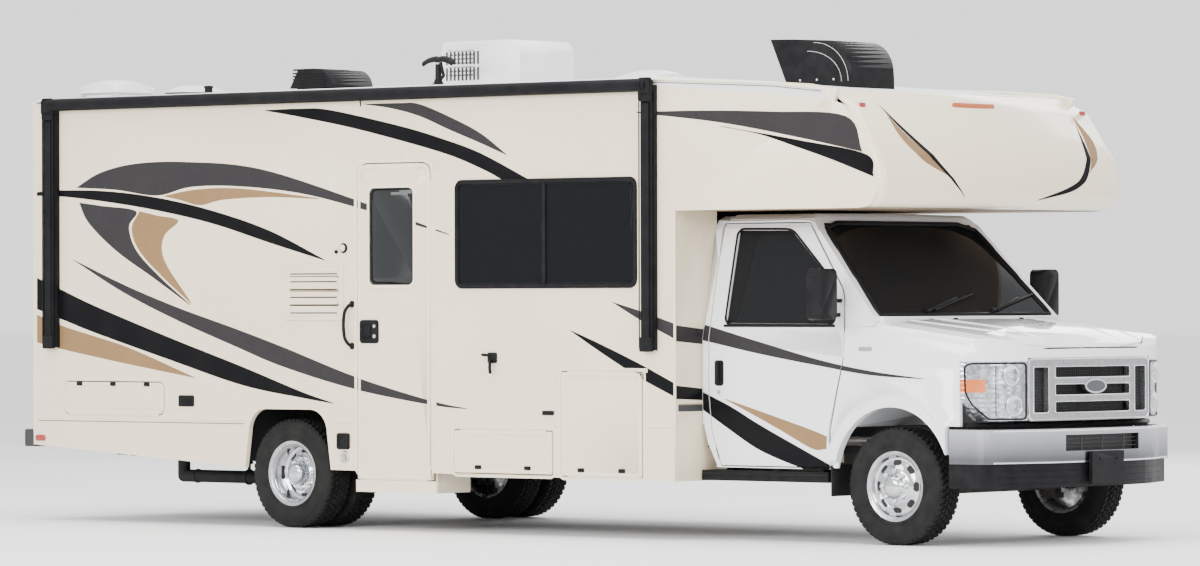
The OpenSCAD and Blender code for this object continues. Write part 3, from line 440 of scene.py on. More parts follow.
engine_iron = Finish("engine_iron", (0.2, 0.2, 0.2), 0.6, Metallic=0.5)
engine_iron.varied((0.2, 0.2, 0.205), (0.3, 0.28, 0.26), 14.0, 0.5, 0.2)
engine_iron.relief(engine_iron.grain(120), 0.4)
skin("engine_block", engine_iron)

exhaust_tube = Finish("exhaust_tube", (0.4, 0.39, 0.37), 0.35, Metallic=1.0)
exhaust_tube.varied((0.42, 0.41, 0.39), (0.26, 0.2, 0.15), 5.0, 0.3, 0.3)
skin("exhaust", exhaust_tube)

tank_plastic = Finish("tank_plastic", (0.015, 0.015, 0.016), 0.6, Specular_IOR_Level=0.12)
tank_plastic.varied((0.012, 0.012, 0.013), (0.022, 0.021, 0.02), 6.0, 0.5, 0.2)
tank_plastic.relief(tank_plastic.grain(300), 0.3)
for node in ("under_tanks", "wheel_wells"):
    skin(node, tank_plastic)

valve = Bench()
valve.rod([(-2.16, -0.9, 0.325), (-2.12, -0.9, 0.325)], 0.052, 24)
valve.rod([(-2.4, -0.9, 0.325), (-2.385, -0.9, 0.325)], 0.056, 24)
valve.rod([(-2.3925, -0.9, 0.36), (-2.3925, -0.9, 0.42)], 0.012, 10)
valve.rod([(-2.3925, -0.93, 0.425), (-2.3925, -0.87, 0.425)], 0.011, 10)
valve.rod([(-2.9, -0.9, 0.325), (-2.885, -0.9, 0.325)], 0.05, 24)
valve.done("drain_valve", tank_plastic, bevel=0.002)


# ---- Wheels ----
# Truck tyres with ribbed sidewalls and blocks moulded round the tread, on steel rims. Bright
# stainless simulators with hand holes snap over the rims, and chrome nuts hold them. Near-black
# sheets in the hand holes are painted shade.

front_axle_x = 3.355
rear_axle_x = -1.665
axle_height = 0.372
tyre_radius = 0.372

tyre_rubber = Finish("tyre_rubber", (0.011, 0.011, 0.011), 0.75, Specular_IOR_Level=0.1)
tyre_rubber.varied((0.009, 0.009, 0.0095), (0.018, 0.0175, 0.0165), 11.0, 0.66, 0.2)
tyre_rubber.relief(tyre_rubber.grain(420), 0.3)

rim_steel = Finish("rim_steel", (0.45, 0.46, 0.48), 0.28, Metallic=1.0)
rim_steel.varied((0.5, 0.51, 0.53), (0.36, 0.36, 0.37), 20.0, 0.2, 0.22)

simulator_steel = Finish("simulator_steel", (0.6, 0.61, 0.63), 0.1, Metallic=1.0)
simulator_steel.varied((0.62, 0.63, 0.645), (0.5, 0.51, 0.53), 26.0, 0.06, 0.12)

# Painted shade: near-black sheets stand for the shade seen through the simulators' hand holes.
hand_hole_painted_shade = Finish("hand_hole_painted_shade", (0.008, 0.008, 0.008), 0.8)
hand_hole_painted_shade.relief(hand_hole_painted_shade.grain(200), 0.3)

tyre_side = [(0.204, 0.084), (0.214, 0.097), (0.226, 0.1), (0.232, 0.1055), (0.243, 0.1065),
        (0.249, 0.1035), (0.268, 0.1095), (0.29, 0.1115), (0.306, 0.1105), (0.31, 0.113), (0.315, 0.1125),
        (0.322, 0.108), (0.338, 0.1045), (0.352, 0.099), (0.3605, 0.091), (0.3625, 0.086)]
tyre_grooves = [0.055, 0.046, 0.014, 0.005]


def tyre(bench, centre):
    """A turned carcass with rings round the sidewalls, and five rows of tread blocks."""
    tread = []
    for edge, deeper in zip(tyre_grooves, (False, True, False, True)):
        tread += [(0.3625 if not deeper else 0.358, edge)]
    half = tyre_side + tread
    profile = half + [(radius, -height) for radius, height in reversed(half)]
    bench.lathe(profile, centre, (0, 1, 0), 72, closed=True)
    rows = [(0.0, 0.030, 56, 0.0), (0.034, 0.022, 56, 0.5), (-0.034, 0.022, 56, 0.5),
            (0.073, 0.034, 56, 0.0), (-0.073, 0.034, 56, 0.0)]
    for middle, width, count, lag in rows:
        block = Bench()
        pitch = 2 * math.pi / count
        outer = tyre_radius - (0.0005 if abs(middle) < 0.05 else 0.002)
        half_block = outer * pitch * 0.37
        skew = 0.006 if middle >= 0 else -0.006
        low, high = middle - width / 2, middle + width / 2
        rings = []
        for y, shift in ((low, -skew), (high, skew)):
            rings.append([(shift - half_block, y, 0.355), (shift + half_block, y, 0.355),
                    (shift + half_block * 0.9, y, outer - 0.0006), (shift - half_block * 0.9, y, outer
                    - 0.0006)])
        block.loops(rings)
        ring = row_of(block, count, tyre_rubber, (0, 0, 0), (0, 0, 0), (0, pitch, 0))
        ring.transform(Matrix.Rotation(lag * pitch, 4, "Y"))
        bench.add(ring, centre)


def nut_ring(bench, centre, circle, count, side, tall):
    """Hexagon nuts with domed caps on the simulator's bolt circle."""
    nut = Bench()
    nut.lathe([(0, -0.004), (0.0165, -0.004), (0.0165, tall * 0.45), (0.0135, tall * 0.5),
            (0.0125, tall * 0.85), (0.007, tall), (0, tall)], (circle, 0, 0), (0, side, 0), 8)
    turn = (0, 2 * math.pi / count, 0)
    bench.add(row_of(nut, count, simulator_steel, (0, 0, 0), (0, 0, 0), turn), centre)


def hole_ring(bench, centre, circle, count, side, lean):
    """Oval near-black sheets round the simulator's dish: painted shade where its hand holes open."""
    hole = Bench()
    outline = []
    for i in range(20):
        angle = 2 * math.pi * i / 20
        outline.append((circle + 0.021 * math.cos(angle), side * lean * 0.021 * math.cos(angle), 0.031
                * math.sin(angle)))
    hole.loops([outline, [(x, y + side * 0.0016, z) for x, y, z in outline]])
    turn = (0, 2 * math.pi / count, 0)
    bench.add(row_of(hole, count, hand_hole_painted_shade, (0, 0, 0), (0, 0, 0), turn), centre)


for side, name in ((-1, "right"), (1, "left")):
    body = "front_wheel_" + name
    hub = (front_axle_x, side * 0.8815, axle_height)
    rubber = Bench()
    tyre(rubber, hub)
    piece = rubber.done("front_tyre_" + name, tyre_rubber, body, "tyre_rubber")
    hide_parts("tyre_front_" + name)
    skin("rim_front_" + name, rim_steel)
    cover = Bench()
    cover.lathe([(0.2, 0.076), (0.2085, 0.082), (0.2095, 0.0895), (0.205, 0.0945), (0.196, 0.092),
            (0.19, 0.08), (0.182, 0.07), (0.168, 0.066), (0.15, 0.0715), (0.128, 0.0835), (0.118, 0.095),
            (0.112, 0.099), (0.084, 0.1), (0.078, 0.1035), (0.072, 0.114), (0.062, 0.13), (0.052, 0.139),
            (0.038, 0.1435), (0.02, 0.146), (0, 0.1465), (0, 0.138), (0.06, 0.12), (0.07, 0.094),
            (0.11, 0.092), (0.15, 0.064), (0.18, 0.062), (0.19, 0.07)], hub, (0, side, 0), 64, closed=True)
    nut_ring(cover, (hub[0], hub[1] + side * 0.099, hub[2]), 0.0955, 8, side, 0.024)
    piece = cover.done("front_simulator_" + name, simulator_steel, body, "wheel_steel")
    holes = Bench()
    hole_ring(holes, (hub[0], hub[1] + side * 0.0715, hub[2]), 0.151, 8, side, -0.42)
    holes.done("front_hand_holes_" + name, hand_hole_painted_shade, body, "wheel_steel")

for side, name in ((-1, "right"), (1, "left")):
    body = "rear_wheels_" + name
    rubber = Bench()
    for spot in (1.128, 0.848):
        tyre(rubber, (rear_axle_x, side * spot, axle_height))
    piece = rubber.done("rear_tyres_" + name, tyre_rubber, body, "tyre_rubber")
    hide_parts("tyres_rear_" + name)
    skin("rims_rear_" + name, rim_steel)
    hub = (rear_axle_x, side * 1.128, axle_height)
    cover = Bench()
    cover.lathe([(0.2, 0.076), (0.2085, 0.082), (0.2095, 0.0895), (0.205, 0.0945), (0.198, 0.092),
            (0.1945, 0.07), (0.19, 0.0), (0.183, -0.024), (0.168, -0.032), (0.15, -0.028), (0.124, -0.014),
            (0.114, -0.002), (0.082, 0.0), (0.076, 0.005), (0.071, 0.03), (0.066, 0.062), (0.058, 0.078),
            (0.044, 0.086), (0.02, 0.0895), (0, 0.09), (0, 0.082), (0.058, 0.06), (0.066, -0.008),
            (0.11, -0.01), (0.15, -0.036), (0.18, -0.034), (0.188, 0.0), (0.19, 0.07)], hub, (0, side, 0),
            64, closed=True)
    nut_ring(cover, (hub[0], hub[1] - side * 0.001, hub[2]), 0.0975, 8, side, 0.03)
    cover.done("rear_simulator_" + name, simulator_steel, body, "wheel_steel")
    holes = Bench()
    hole_ring(holes, (hub[0], hub[1] - side * 0.029, hub[2]), 0.152, 8, side, -0.4)
    holes.done("rear_hand_holes_" + name, hand_hole_painted_shade, body, "wheel_steel")


# ---- House shell ----
# Cream gelcoat on glass-fibre panels over a frame, waxed to a soft gloss. The walls, front
# wall and nose cap are bonded panels, and the floor's underside is a sealed black sheet.

cream = (0.8, 0.69, 0.5)
gelcoat = Finish("cream_gelcoat", cream, 0.24, Coat_Weight=0.35, Coat_Roughness=0.08)
gelcoat.varied((0.81, 0.7, 0.515), (0.785, 0.67, 0.485), 0.9, 0.2, 0.1)
gelcoat.relief(gelcoat.grain(1.6, 2), 0.35, 0.004)
for node in ("house_wall_right", "house_wall_left", "house_wall_rear", "house_wall_front", "step_well"):
    skin(node, gelcoat)

floor_sheet = Finish("floor_sheet", (0.05, 0.05, 0.05), 0.7)
floor_height = floor_sheet.along("Z")
vinyl = floor_sheet.blend(floor_sheet.grain(7, 5, (1, 14, 1)), (0.2, 0.13, 0.08), (0.34, 0.24, 0.15))
sheet_colour = floor_sheet.blend(floor_height > 0.872, (0.03, 0.03, 0.032), vinyl)
front_edge = floor_sheet.along("X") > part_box("house_floor")[1].x - 0.001
floor_sheet.set(**{"Base Color": floor_sheet.blend(front_edge, sheet_colour, cream)})
floor_sheet.relief(floor_sheet.grain(90, 4), 0.3)
skin("house_floor", floor_sheet)

wall_face = -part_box("house_wall_right")[0].y
wall_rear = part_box("house_wall_right")[0].x
wall_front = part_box("house_wall_front")[1].x
roof_top = 2.99

trim_alloy = Finish("cream_trim", (0.82, 0.73, 0.56), 0.3, Coat_Weight=0.3)
trim_alloy.varied((0.84, 0.75, 0.58), (0.79, 0.7, 0.53), 8.0, 0.26, 0.14)
trim_alloy.relief(trim_alloy.grain(240), 0.15)

black_trim = Finish("black_trim", (0.009, 0.009, 0.01), 0.4, Specular_IOR_Level=0.08)
black_trim.varied((0.007, 0.007, 0.008), (0.011, 0.011, 0.0115), 12.0, 0.36, 0.08)
black_trim.relief(black_trim.grain(500), 0.25)

screw_steel = Finish("screw_steel", (0.62, 0.61, 0.58), 0.3, Metallic=0.9)
screw_steel.varied((0.66, 0.65, 0.62), (0.5, 0.49, 0.47), 30.0, 0.24, 0.2)


def rounded(low, high, radius, steps=6):
    """A rectangle's outline with round corners."""
    corners = [(high[0] - radius, low[1] + radius, -90), (high[0] - radius, high[1] - radius, 0),
            (low[0] + radius, high[1] - radius, 90), (low[0] + radius, low[1] + radius, 180)]
    outline = []
    for u, v, start in corners:
        for i in range(steps + 1):
            angle = math.radians(start + 90 * i / steps)
            outline.append((u + radius * math.cos(angle), v + radius * math.sin(angle)))
    return outline


# ---- Corner, belt and roof-edge trims ----
# Extruded mouldings cover the joints between panels, each with a vinyl insert. The belt moulding
# along the floor line is cut where the hatches and the wheel opening are.

trims = Bench()
for side in (-1, 1):
    for x in (wall_rear - 0.033, wall_front - 0.004):
        low, high = (0.62, 2.965) if x < 0 else (0.62, 2.118)
        trims.rod([(x + 0.004, side * (wall_face - 0.003), low), (x + 0.004, side * (wall_face - 0.003),
                high)], 0.0085, 12)
    runs = [(-4.12, -3.87), (-2.83, -2.08), (-1.245, -1.03), (0.765, 0.80), (1.54, 1.78)]
    if side > 0:
        runs = [(-4.12, -2.08), (-1.245, -0.67), (0.72, 1.78)]
    for start, end in runs:
        trims.rod([(start, side * (wall_face + 0.001), 0.735), (end, side * (wall_face + 0.001), 0.735)],
                0.008, 10, flat=0.6)
    trims.rod([(wall_rear, side * (wall_face + 0.002), 2.972), (1.66, side * (wall_face + 0.002), 2.972),
            (2.6, side * (wall_face + 0.002), 2.924), (3.03, side * (wall_face + 0.002), 2.876)], 0.009, 10)
trims.rod([(wall_rear - 0.036, -1.2, 2.97), (wall_rear - 0.036, 1.2, 2.97)], 0.009, 10)
for side in (-1, 1):
    corner_fill = [(2.7, 2.86), (3.1, 2.79), (3.13, 2.872), (2.9, 2.912), (2.7, 2.926)]
    trims.plate(corner_fill, "y", *sorted((side * (wall_face - 0.001), side * (wall_face - 0.035))))
trims.done("panel_mouldings", trim_alloy, "motorhome", "house_white")

seams = Bench()
for side in (-1, 1):
    seams.rod([(wall_rear + 0.01, side * (wall_face + 0.0012), 0.706),
            (-2.08, side * (wall_face + 0.0012), 0.706)], 0.0022, 6)
    seams.rod([(wall_rear + 0.01, side * (wall_face + 0.0012), 2.952),
            (1.66, side * (wall_face + 0.0012), 2.952), (2.6, side * (wall_face + 0.0012), 2.904),
            (3.0, side * (wall_face + 0.0012), 2.862)], 0.0022, 6)
seams.done("moulding_seams", black_trim)


# ---- Vinyl films ----
# The sweeping stripes are cut vinyl: black, charcoal and tan films stuck on walls, doors, cab
# and nose. Each film is the skin of its panel inside a smooth outline, lifted off by its thickness.

film_black = Finish("film_black", (0.006, 0.006, 0.007), 0.25, Specular_IOR_Level=0.05)
film_black.varied((0.005, 0.005, 0.006), (0.0065, 0.0065, 0.007), 5.0, 0.23, 0.04)
film_charcoal = Finish("film_charcoal", (0.031, 0.029, 0.03), 0.28, Specular_IOR_Level=0.06)
film_charcoal.varied((0.027, 0.025, 0.0265), (0.029, 0.027, 0.028), 4.0, 0.26, 0.04)
film_tan = Finish("film_tan", (0.22, 0.13, 0.058), 0.28, Specular_IOR_Level=0.2)
film_tan.varied((0.225, 0.134, 0.06), (0.21, 0.124, 0.055), 4.0, 0.26, 0.04)


def smooth_line(points, steps=7):
    """A curve through a few points (Catmull-Rom), ends included."""
    points = [Vector(point) for point in points]
    padded = [2 * points[0] - points[1]] + points + [2 * points[-1] - points[-2]]
    line = []
    for i in range(1, len(padded) - 2):
        a, b, c, d = padded[i - 1:i + 3]
        for k in range(steps):
            t = k / steps
            line.append(0.5 * (2 * b + (c - a) * t + (2 * a - 5 * b + 4 * c - d) * t ** 2
                    + (3 * b - a - 3 * c + d) * t ** 3))
    return [tuple(point) for point in line + [points[-1]]]


def blade(upper, lower):
    """A film's outline between an upper and a lower edge, both from rear to front."""
    line = smooth_line(upper) + smooth_line(lower)[::-1]
    kept = []
    for point in line:
        if not kept or (Vector(point) - Vector(kept[-1])).length > 0.003:
            kept.append(point)
    if (Vector(kept[0]) - Vector(kept[-1])).length < 0.003:
        kept.pop()
    return kept


film_lift = 0.0007
film_count = {}
# Where a leaf swings past its neighbour, the film stops short: (x low, z low, x high, z high).
film_gaps = {"entry_door": [(-0.357, 0, -0.3, 3)], "bag_door_right_front": [(0.7, 1.076, 1.6, 1.2)],
        "house_wall_right": [(-0.4, 0, -0.29, 2.485), (0.78, 1.08, 1.56, 1.108)]}


def film(finish, outlines, node, axis, low, high):
    """Cuts films from the outward skin of a panel. Outlines lie square to the axis."""
    outward = Vector([(1 if high + low > 0 else -1) * (axis == name) for name in "xyz"])
    box_low, box_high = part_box(node)
    flat = [i for i in range(3) if "xyz"[i] != axis]
    sheet = bmesh.new()
    for outline in outlines:
        reach = [(min(p[k] for p in outline), max(p[k] for p in outline)) for k in (0, 1)]
        if any(reach[k][1] < box_low[flat[k]] or reach[k][0] > box_high[flat[k]] for k in (0, 1)):
            continue
        form = bmesh.new()
        form.from_mesh(nodes[node].data)
        bmesh.ops.remove_doubles(form, verts=form.verts, dist=1e-5)
        bmesh.ops.translate(form, verts=form.verts, vec=outward * film_lift)
        panel_mesh = bpy.data.meshes.new("panel")
        form.to_mesh(panel_mesh)
        form.free()
        panel = bpy.data.objects.new("panel", panel_mesh)
        tool = bpy.data.objects.new("tool", Bench().plate(outline, axis, low, high).mesh("tool"))
        for made in (panel, tool):
            bpy.context.scene.collection.objects.link(made)
        cut = panel.modifiers.new("cut", "BOOLEAN")
        cut.operation = "INTERSECT"
        cut.solver = "EXACT"
        cut.use_self = True
        cut.object = tool
        bpy.context.view_layer.update()
        mesh = bpy.data.meshes.new_from_object(panel.evaluated_get(bpy.context.evaluated_depsgraph_get()))
        sheet.from_mesh(mesh)
        bpy.data.meshes.remove(mesh)
        bpy.data.objects.remove(panel)
        bpy.data.objects.remove(tool)
    sheet.normal_update()
    edge_depth = low if abs(low) < abs(high) else high
    spot = "xyz".index(axis)
    hidden = [face for face in sheet.faces if face.normal.dot(outward) < 0.25
            or abs(face.calc_center_median()[spot] - edge_depth) < 1e-4]
    bmesh.ops.delete(sheet, geom=hidden, context="FACES")
    for x_low, z_low, x_high, z_high in film_gaps.get(node, ()):
        for at, way in ((x_low, "x"), (x_high, "x"), (z_low, "z"), (z_high, "z")):
            normal = Vector([way == name for name in "xyz"])
            bmesh.ops.bisect_plane(sheet, geom=sheet.verts[:] + sheet.edges[:] + sheet.faces[:],
                    plane_co=normal * at, plane_no=normal)
        bare = [face for face in sheet.faces if x_low < face.calc_center_median().x < x_high
                and z_low < face.calc_center_median().z < z_high]
        bmesh.ops.delete(sheet, geom=bare, context="FACES")
    if not sheet.faces:
        sheet.free()
        return
    bmesh.ops.solidify(sheet, geom=sheet.faces[:], thickness=film_lift * 0.5)
    bmesh.ops.recalc_face_normals(sheet, faces=sheet.faces)
    film_count[node] = film_count.get(node, 0) + 1
    name = f"film_{node}_{film_count[node]}"
    mesh = bpy.data.meshes.new(name)
    sheet.to_mesh(mesh)
    sheet.free()
    mesh.shade_smooth()
    mesh.set_sharp_from_angle(angle=math.radians(30))
    mesh.materials.clear()
    mesh.materials.append(finish.material)
    carried(name, mesh, body_of_node[node])


rear_hook_black = blade([(-4.19, 2.322), (-3.89, 2.334), (-3.4, 2.32), (-2.88, 2.264), (-2.36, 2.168),
        (-1.83, 2.029), (-1.312, 1.828)], [(-4.19, 2.299), (-3.89, 2.291), (-3.4, 2.244), (-2.88, 2.174),
        (-2.36, 2.079), (-1.83, 1.946), (-1.312, 1.822)])
rear_crest_charcoal = blade([(-3.727, 2.35), (-3.49, 2.45), (-3.14, 2.509), (-2.63, 2.513), (-1.915, 2.452),
        (-0.962, 2.214), (-0.169, 1.991)], [(-3.727, 2.35), (-3.324, 2.329), (-2.92, 2.284), (-2.59, 2.339),
        (-2.13, 2.337), (-1.54, 2.281), (-0.962, 2.167), (-0.169, 1.985)])
rear_crest_tan = blade([(-2.865, 2.28), (-2.521, 2.322), (-2.092, 2.32), (-1.371, 2.246)],
        [(-2.865, 2.28), (-2.684, 2.248), (-2.5, 2.212), (-2.27, 2.247), (-1.827, 2.259), (-1.371, 2.24)])
rear_tail_charcoal = blade([(-3.699, 2.245), (-3.472, 2.219), (-3.131, 2.179), (-3.199, 2.068),
        (-3.122, 1.899), (-2.885, 1.711), (-2.599, 1.527)], [(-3.699, 2.245), (-3.6, 2.098),
        (-3.325, 1.901), (-2.958, 1.711), (-2.599, 1.52)])
rear_tail_tan = blade([(-3.094, 2.177), (-2.92, 2.145), (-2.712, 2.107), (-2.852, 2.0), (-2.849, 1.833),
        (-2.587, 1.537)], [(-3.094, 2.177), (-3.172, 2.055), (-3.095, 1.899), (-2.867, 1.717),
        (-2.587, 1.53)])
middle_charcoal = blade([(-3.762, 1.845), (-3.252, 1.665), (-2.722, 1.505), (-2.184, 1.365), (-1.7, 1.232),
        (-1.021, 1.034), (-0.326, 0.879), (-0.011, 0.832)], [(-3.762, 1.842), (-3.252, 1.609),
        (-2.723, 1.415), (-2.185, 1.244), (-1.7, 1.098), (-1.021, 0.95), (-0.326, 0.852), (-0.011, 0.828)])
low_black = blade([(-4.19, 1.737), (-3.894, 1.637), (-3.549, 1.519), (-2.814, 1.3), (-2.096, 1.098),
        (-1.544, 0.934), (-1.23, 0.856)], [(-4.19, 1.512), (-3.895, 1.428), (-3.549, 1.33), (-2.814, 1.145),
        (-2.097, 0.971), (-1.545, 0.891), (-1.23, 0.852)])
low_tan = blade([(-4.19, 1.475), (-3.895, 1.382), (-3.549, 1.304), (-3.18, 1.217), (-2.552, 1.021)],
        [(-4.19, 1.27), (-3.896, 1.215), (-3.55, 1.161), (-3.18, 1.105), (-2.552, 1.017)])
top_black = blade([(-1.87, 2.855), (-1.539, 2.857), (-1.257, 2.841), (-0.611, 2.719), (-0.248, 2.631),
        (0.11, 2.525), (0.561, 2.335)], [(-1.87, 2.85), (-1.539, 2.8), (-0.988, 2.703), (-0.248, 2.538),
        (0.11, 2.425), (0.34, 2.33)])
top_charcoal = blade([(-0.951, 2.874), (-0.611, 2.873), (-0.438, 2.862), (-0.158, 2.769), (0.111, 2.657),
        (0.341, 2.514)], [(-0.951, 2.872), (-0.702, 2.841), (-0.438, 2.782), (-0.158, 2.682),
        (0.111, 2.591), (0.341, 2.508)])
waist_charcoal = blade([(0.86, 1.64), (1.158, 1.563), (1.5, 1.478), (1.82, 1.388)],
        [(1.04, 1.64), (1.244, 1.543), (1.499, 1.42), (1.82, 1.285)])
waist_black = blade([(0.898, 1.354), (1.157, 1.264), (1.498, 1.135), (1.82, 1.0)],
        [(0.898, 1.35), (1.157, 1.212), (1.498, 1.045), (1.82, 0.913)])
loft_charcoal = blade([(1.47, 2.765), (2.009, 2.762), (2.6, 2.742), (3.2, 2.7), (3.33, 2.478)],
        [(1.47, 2.76), (2.175, 2.682), (2.831, 2.572), (3.329, 2.474)])
loft_black = blade([(2.18, 2.66), (2.831, 2.556), (3.361, 2.458), (3.42, 2.322)],
        [(2.18, 2.656), (2.5, 2.6), (2.831, 2.506), (3.1, 2.425), (3.42, 2.316)])
cab_charcoal = blade([(1.8, 1.39), (2.28, 1.278), (2.772, 1.165), (3.176, 1.098), (3.602, 1.053)],
        [(1.8, 1.288), (2.28, 1.201), (2.772, 1.127), (3.176, 1.072), (3.602, 1.049)])
cab_black = blade([(1.8, 0.955), (2.04, 0.86), (2.278, 0.746), (2.835, 0.5), (3.0, 0.42)],
        [(1.8, 0.84), (2.02, 0.715), (2.278, 0.58), (2.62, 0.47), (2.9, 0.4)])
cab_tan = blade([(1.987, 0.912), (2.361, 0.813), (2.7, 0.72), (2.825, 0.68)],
        [(1.987, 0.908), (2.2, 0.82), (2.443, 0.716), (2.7, 0.6), (2.815, 0.6)])

house_films = [(film_black, [rear_hook_black, low_black, top_black, waist_black]),
        (film_charcoal, [rear_crest_charcoal, rear_tail_charcoal, middle_charcoal, top_charcoal,
        waist_charcoal]), (film_tan, [rear_crest_tan, rear_tail_tan, low_tan])]
right_panels = ("house_wall_right", "entry_door", "bag_door_right_rear", "bag_door_right_front",
        "bag_door_right_mid")
for side, panels in ((-1, right_panels), (1, ("house_wall_left", "bag_door_left"))):
    for finish, outlines in house_films:
        for node in panels:
            low, high = sorted((side * (wall_face - 0.0002), side * (wall_face + 0.03)))
            film(finish, outlines, node, "y", low, high)
    name = "right" if side < 0 else "left"
    cab_films = [(film_black, [cab_black]), (film_charcoal, [cab_charcoal]), (film_tan, [cab_tan])]
    for finish, outlines in cab_films:
        low, high = sorted((side * 0.93, side * 1.06))
        for node in ("cab_door_" + name, "front_fenders", "cab_body"):
            film(finish, outlines, node, "y", low, high)
    low, high = sorted((side * (wall_face - 0.06), side * (wall_face + 0.03)))
    for finish, outlines in ((film_charcoal, [loft_charcoal]), (film_black, [loft_black])):
        for node in ("house_wall_" + name, "nose_cap"):
            film(finish, outlines, node, "y", low, high)

nose_black_right = blade([(-1.0, 2.79), (-0.86, 2.62), (-0.66, 2.41), (-0.43, 2.2)],
        [(-1.0, 2.785), (-0.9, 2.62), (-0.7, 2.4), (-0.43, 2.195)])
nose_tan_right = blade([(-0.97, 2.72), (-0.89, 2.6), (-0.76, 2.46), (-0.62, 2.34)],
        [(-0.97, 2.715), (-0.95, 2.56), (-0.84, 2.43), (-0.62, 2.335)])
nose_black_left = [(-y, z) for y, z in reversed(blade([(-1.03, 2.7), (-0.92, 2.45), (-0.75, 2.3),
        (-0.36, 2.19)], [(-1.03, 2.695), (-0.965, 2.44), (-0.78, 2.27), (-0.36, 2.184)]))]
nose_tan_left = [(-y, z) for y, z in reversed(blade([(-1.04, 2.76), (-1.03, 2.6), (-0.96, 2.42),
        (-0.93, 2.38)], [(-1.04, 2.755), (-1.115, 2.58), (-1.04, 2.45), (-0.93, 2.375)]))]
film(film_black, [nose_black_right, nose_black_left], "nose_cap", "x", 3.05, 3.6)
film(film_tan, [nose_tan_right, nose_tan_left], "nose_cap", "x", 3.05, 3.6)
for finish, upper, lower in ((film_charcoal, (1.388, 1.285), (1.36, 1.262)),
        (film_black, (1.0, 0.913), (0.975, 0.9))):
    outlines = [[(side * 1.275, upper[0]), (side * 1.275, upper[1]), (side * 0.98, lower[1]),
            (side * 0.98, lower[0])] for side in (-1, 1)]
    film(finish, outlines, "house_wall_right", "x", wall_front - 0.0002, wall_front + 0.02)
    film(finish, outlines, "house_wall_left", "x", wall_front - 0.0002, wall_front + 0.02)
    film(finish, outlines, "house_wall_front", "x", wall_front - 0.0002, wall_front + 0.02)


# ---- House windows ----
# Frameless-look sliders: dark tinted panes in black anodised frames with round corners. Each
# has a rubber glazing bead, a slide track along the sill and a pull on the moving pane.

tinted_glass = Finish("tinted_glass", (0.008, 0.009, 0.01), 0.03, Transmission_Weight=0.12, IOR=1.25,
        Specular_IOR_Level=0.06)
tinted_glass.set(Roughness=tinted_glass.between(tinted_glass.grain(2.2), 0.3, 0.7, 0.015, 0.06))
skin("house_window_glass", tinted_glass)
skin("house_window_frames", black_trim)

window_beads = Bench()
window_tracks = Bench()
openings = [(-1, -0.114, 1.627, 1.475, 2.349, 0.672), (1, -0.560, 1.627, 0.930, 2.349, 0.190),
        (1, -3.560, 1.727, -2.640, 2.299, -3.1)]
for side, left, low, right, high, middle in openings:
    glass_face = side * 1.2695
    ring = [(x, glass_face, z) for x, z in rounded((left + 0.031, low + 0.031),
            (right - 0.031, high - 0.031), 0.035)]
    window_beads.rod(ring, 0.0035, 6, closed=True)
    outer = [(x, side * 1.2785, z) for x, z in rounded((left + 0.004, low + 0.004),
            (right - 0.004, high - 0.004), 0.056)]
    window_beads.rod(outer, 0.003, 6, closed=True)
    for x in (middle - 0.016, middle + 0.016):
        window_tracks.block((x - 0.002, min(side * 1.2786, side * 1.2745), low + 0.03),
                (x + 0.002, max(side * 1.2786, side * 1.2745), high - 0.03))
    for z in (low + 0.036, high - 0.036):
        window_tracks.rod([(left + 0.06, side * 1.2715, z), (right - 0.06, side * 1.2715, z)], 0.003, 6)
    slot_unit = Bench().block((-0.014, -0.0015, -0.003), (0.014, 0.0015, 0.003))
    window_tracks.add(row_of(slot_unit, 4, black_trim, (left + 0.2, side * 1.2785, low + 0.012),
            ((right - left - 0.4) / 3, 0, 0)))
rear_ring = [(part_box("house_window_frames")[0].x, y, z) for y, z in rounded((-0.476, 1.731), (0.476, 2.295),
        0.056)]
window_beads.rod(rear_ring, 0.003, 6, closed=True)
window_beads.done("window_beads", black_trim)
window_tracks.done("window_tracks", black_trim)


# ---- Entry door ----
# A bonded leaf in a pale alloy frame, with a tinted pane, a paddle latch and deadbolt in black
# zinc, a hinge down the front edge and screws round its frame. A bent grab bar stands beside it.

skin("entry_door", gelcoat)
entry_glass = Finish("entry_glass", (0.02, 0.022, 0.022), 0.05, Transmission_Weight=0.3, IOR=1.5,
        Specular_IOR_Level=0.2)
entry_glass.set(Roughness=entry_glass.between(entry_glass.grain(3.0), 0.3, 0.7, 0.02, 0.08))
skin("entry_door_glass", entry_glass)

leaf_face = -1.276
leaf_left, leaf_right = -1.0, -0.337
edging = Bench()
edging.band(rounded((leaf_left + 0.006, 0.358), (leaf_right - 0.006, 2.46), 0.05),
        rounded((leaf_left + 0.026, 0.378), (leaf_right - 0.026, 2.44), 0.04), "y", leaf_face - 0.0035,
        leaf_face + 0.001)
edging.band(rounded((-0.908, 1.633), (-0.467, 2.327), 0.055), rounded((-0.886, 1.655), (-0.489, 2.305),
        0.04), "y", leaf_face - 0.006, leaf_face + 0.006)
edging.done("entry_door_edging", trim_alloy, "entry_door_body", "house_white", bevel=0.0015)

bead = Bench()
bead.rod([(x, leaf_face - 0.0035, z) for x, z in rounded((-0.884, 1.657), (-0.491, 2.303), 0.04)], 0.004, 6,
        closed=True)
bead.done("entry_glass_bead", black_trim, "entry_door_body", "black_plastic")

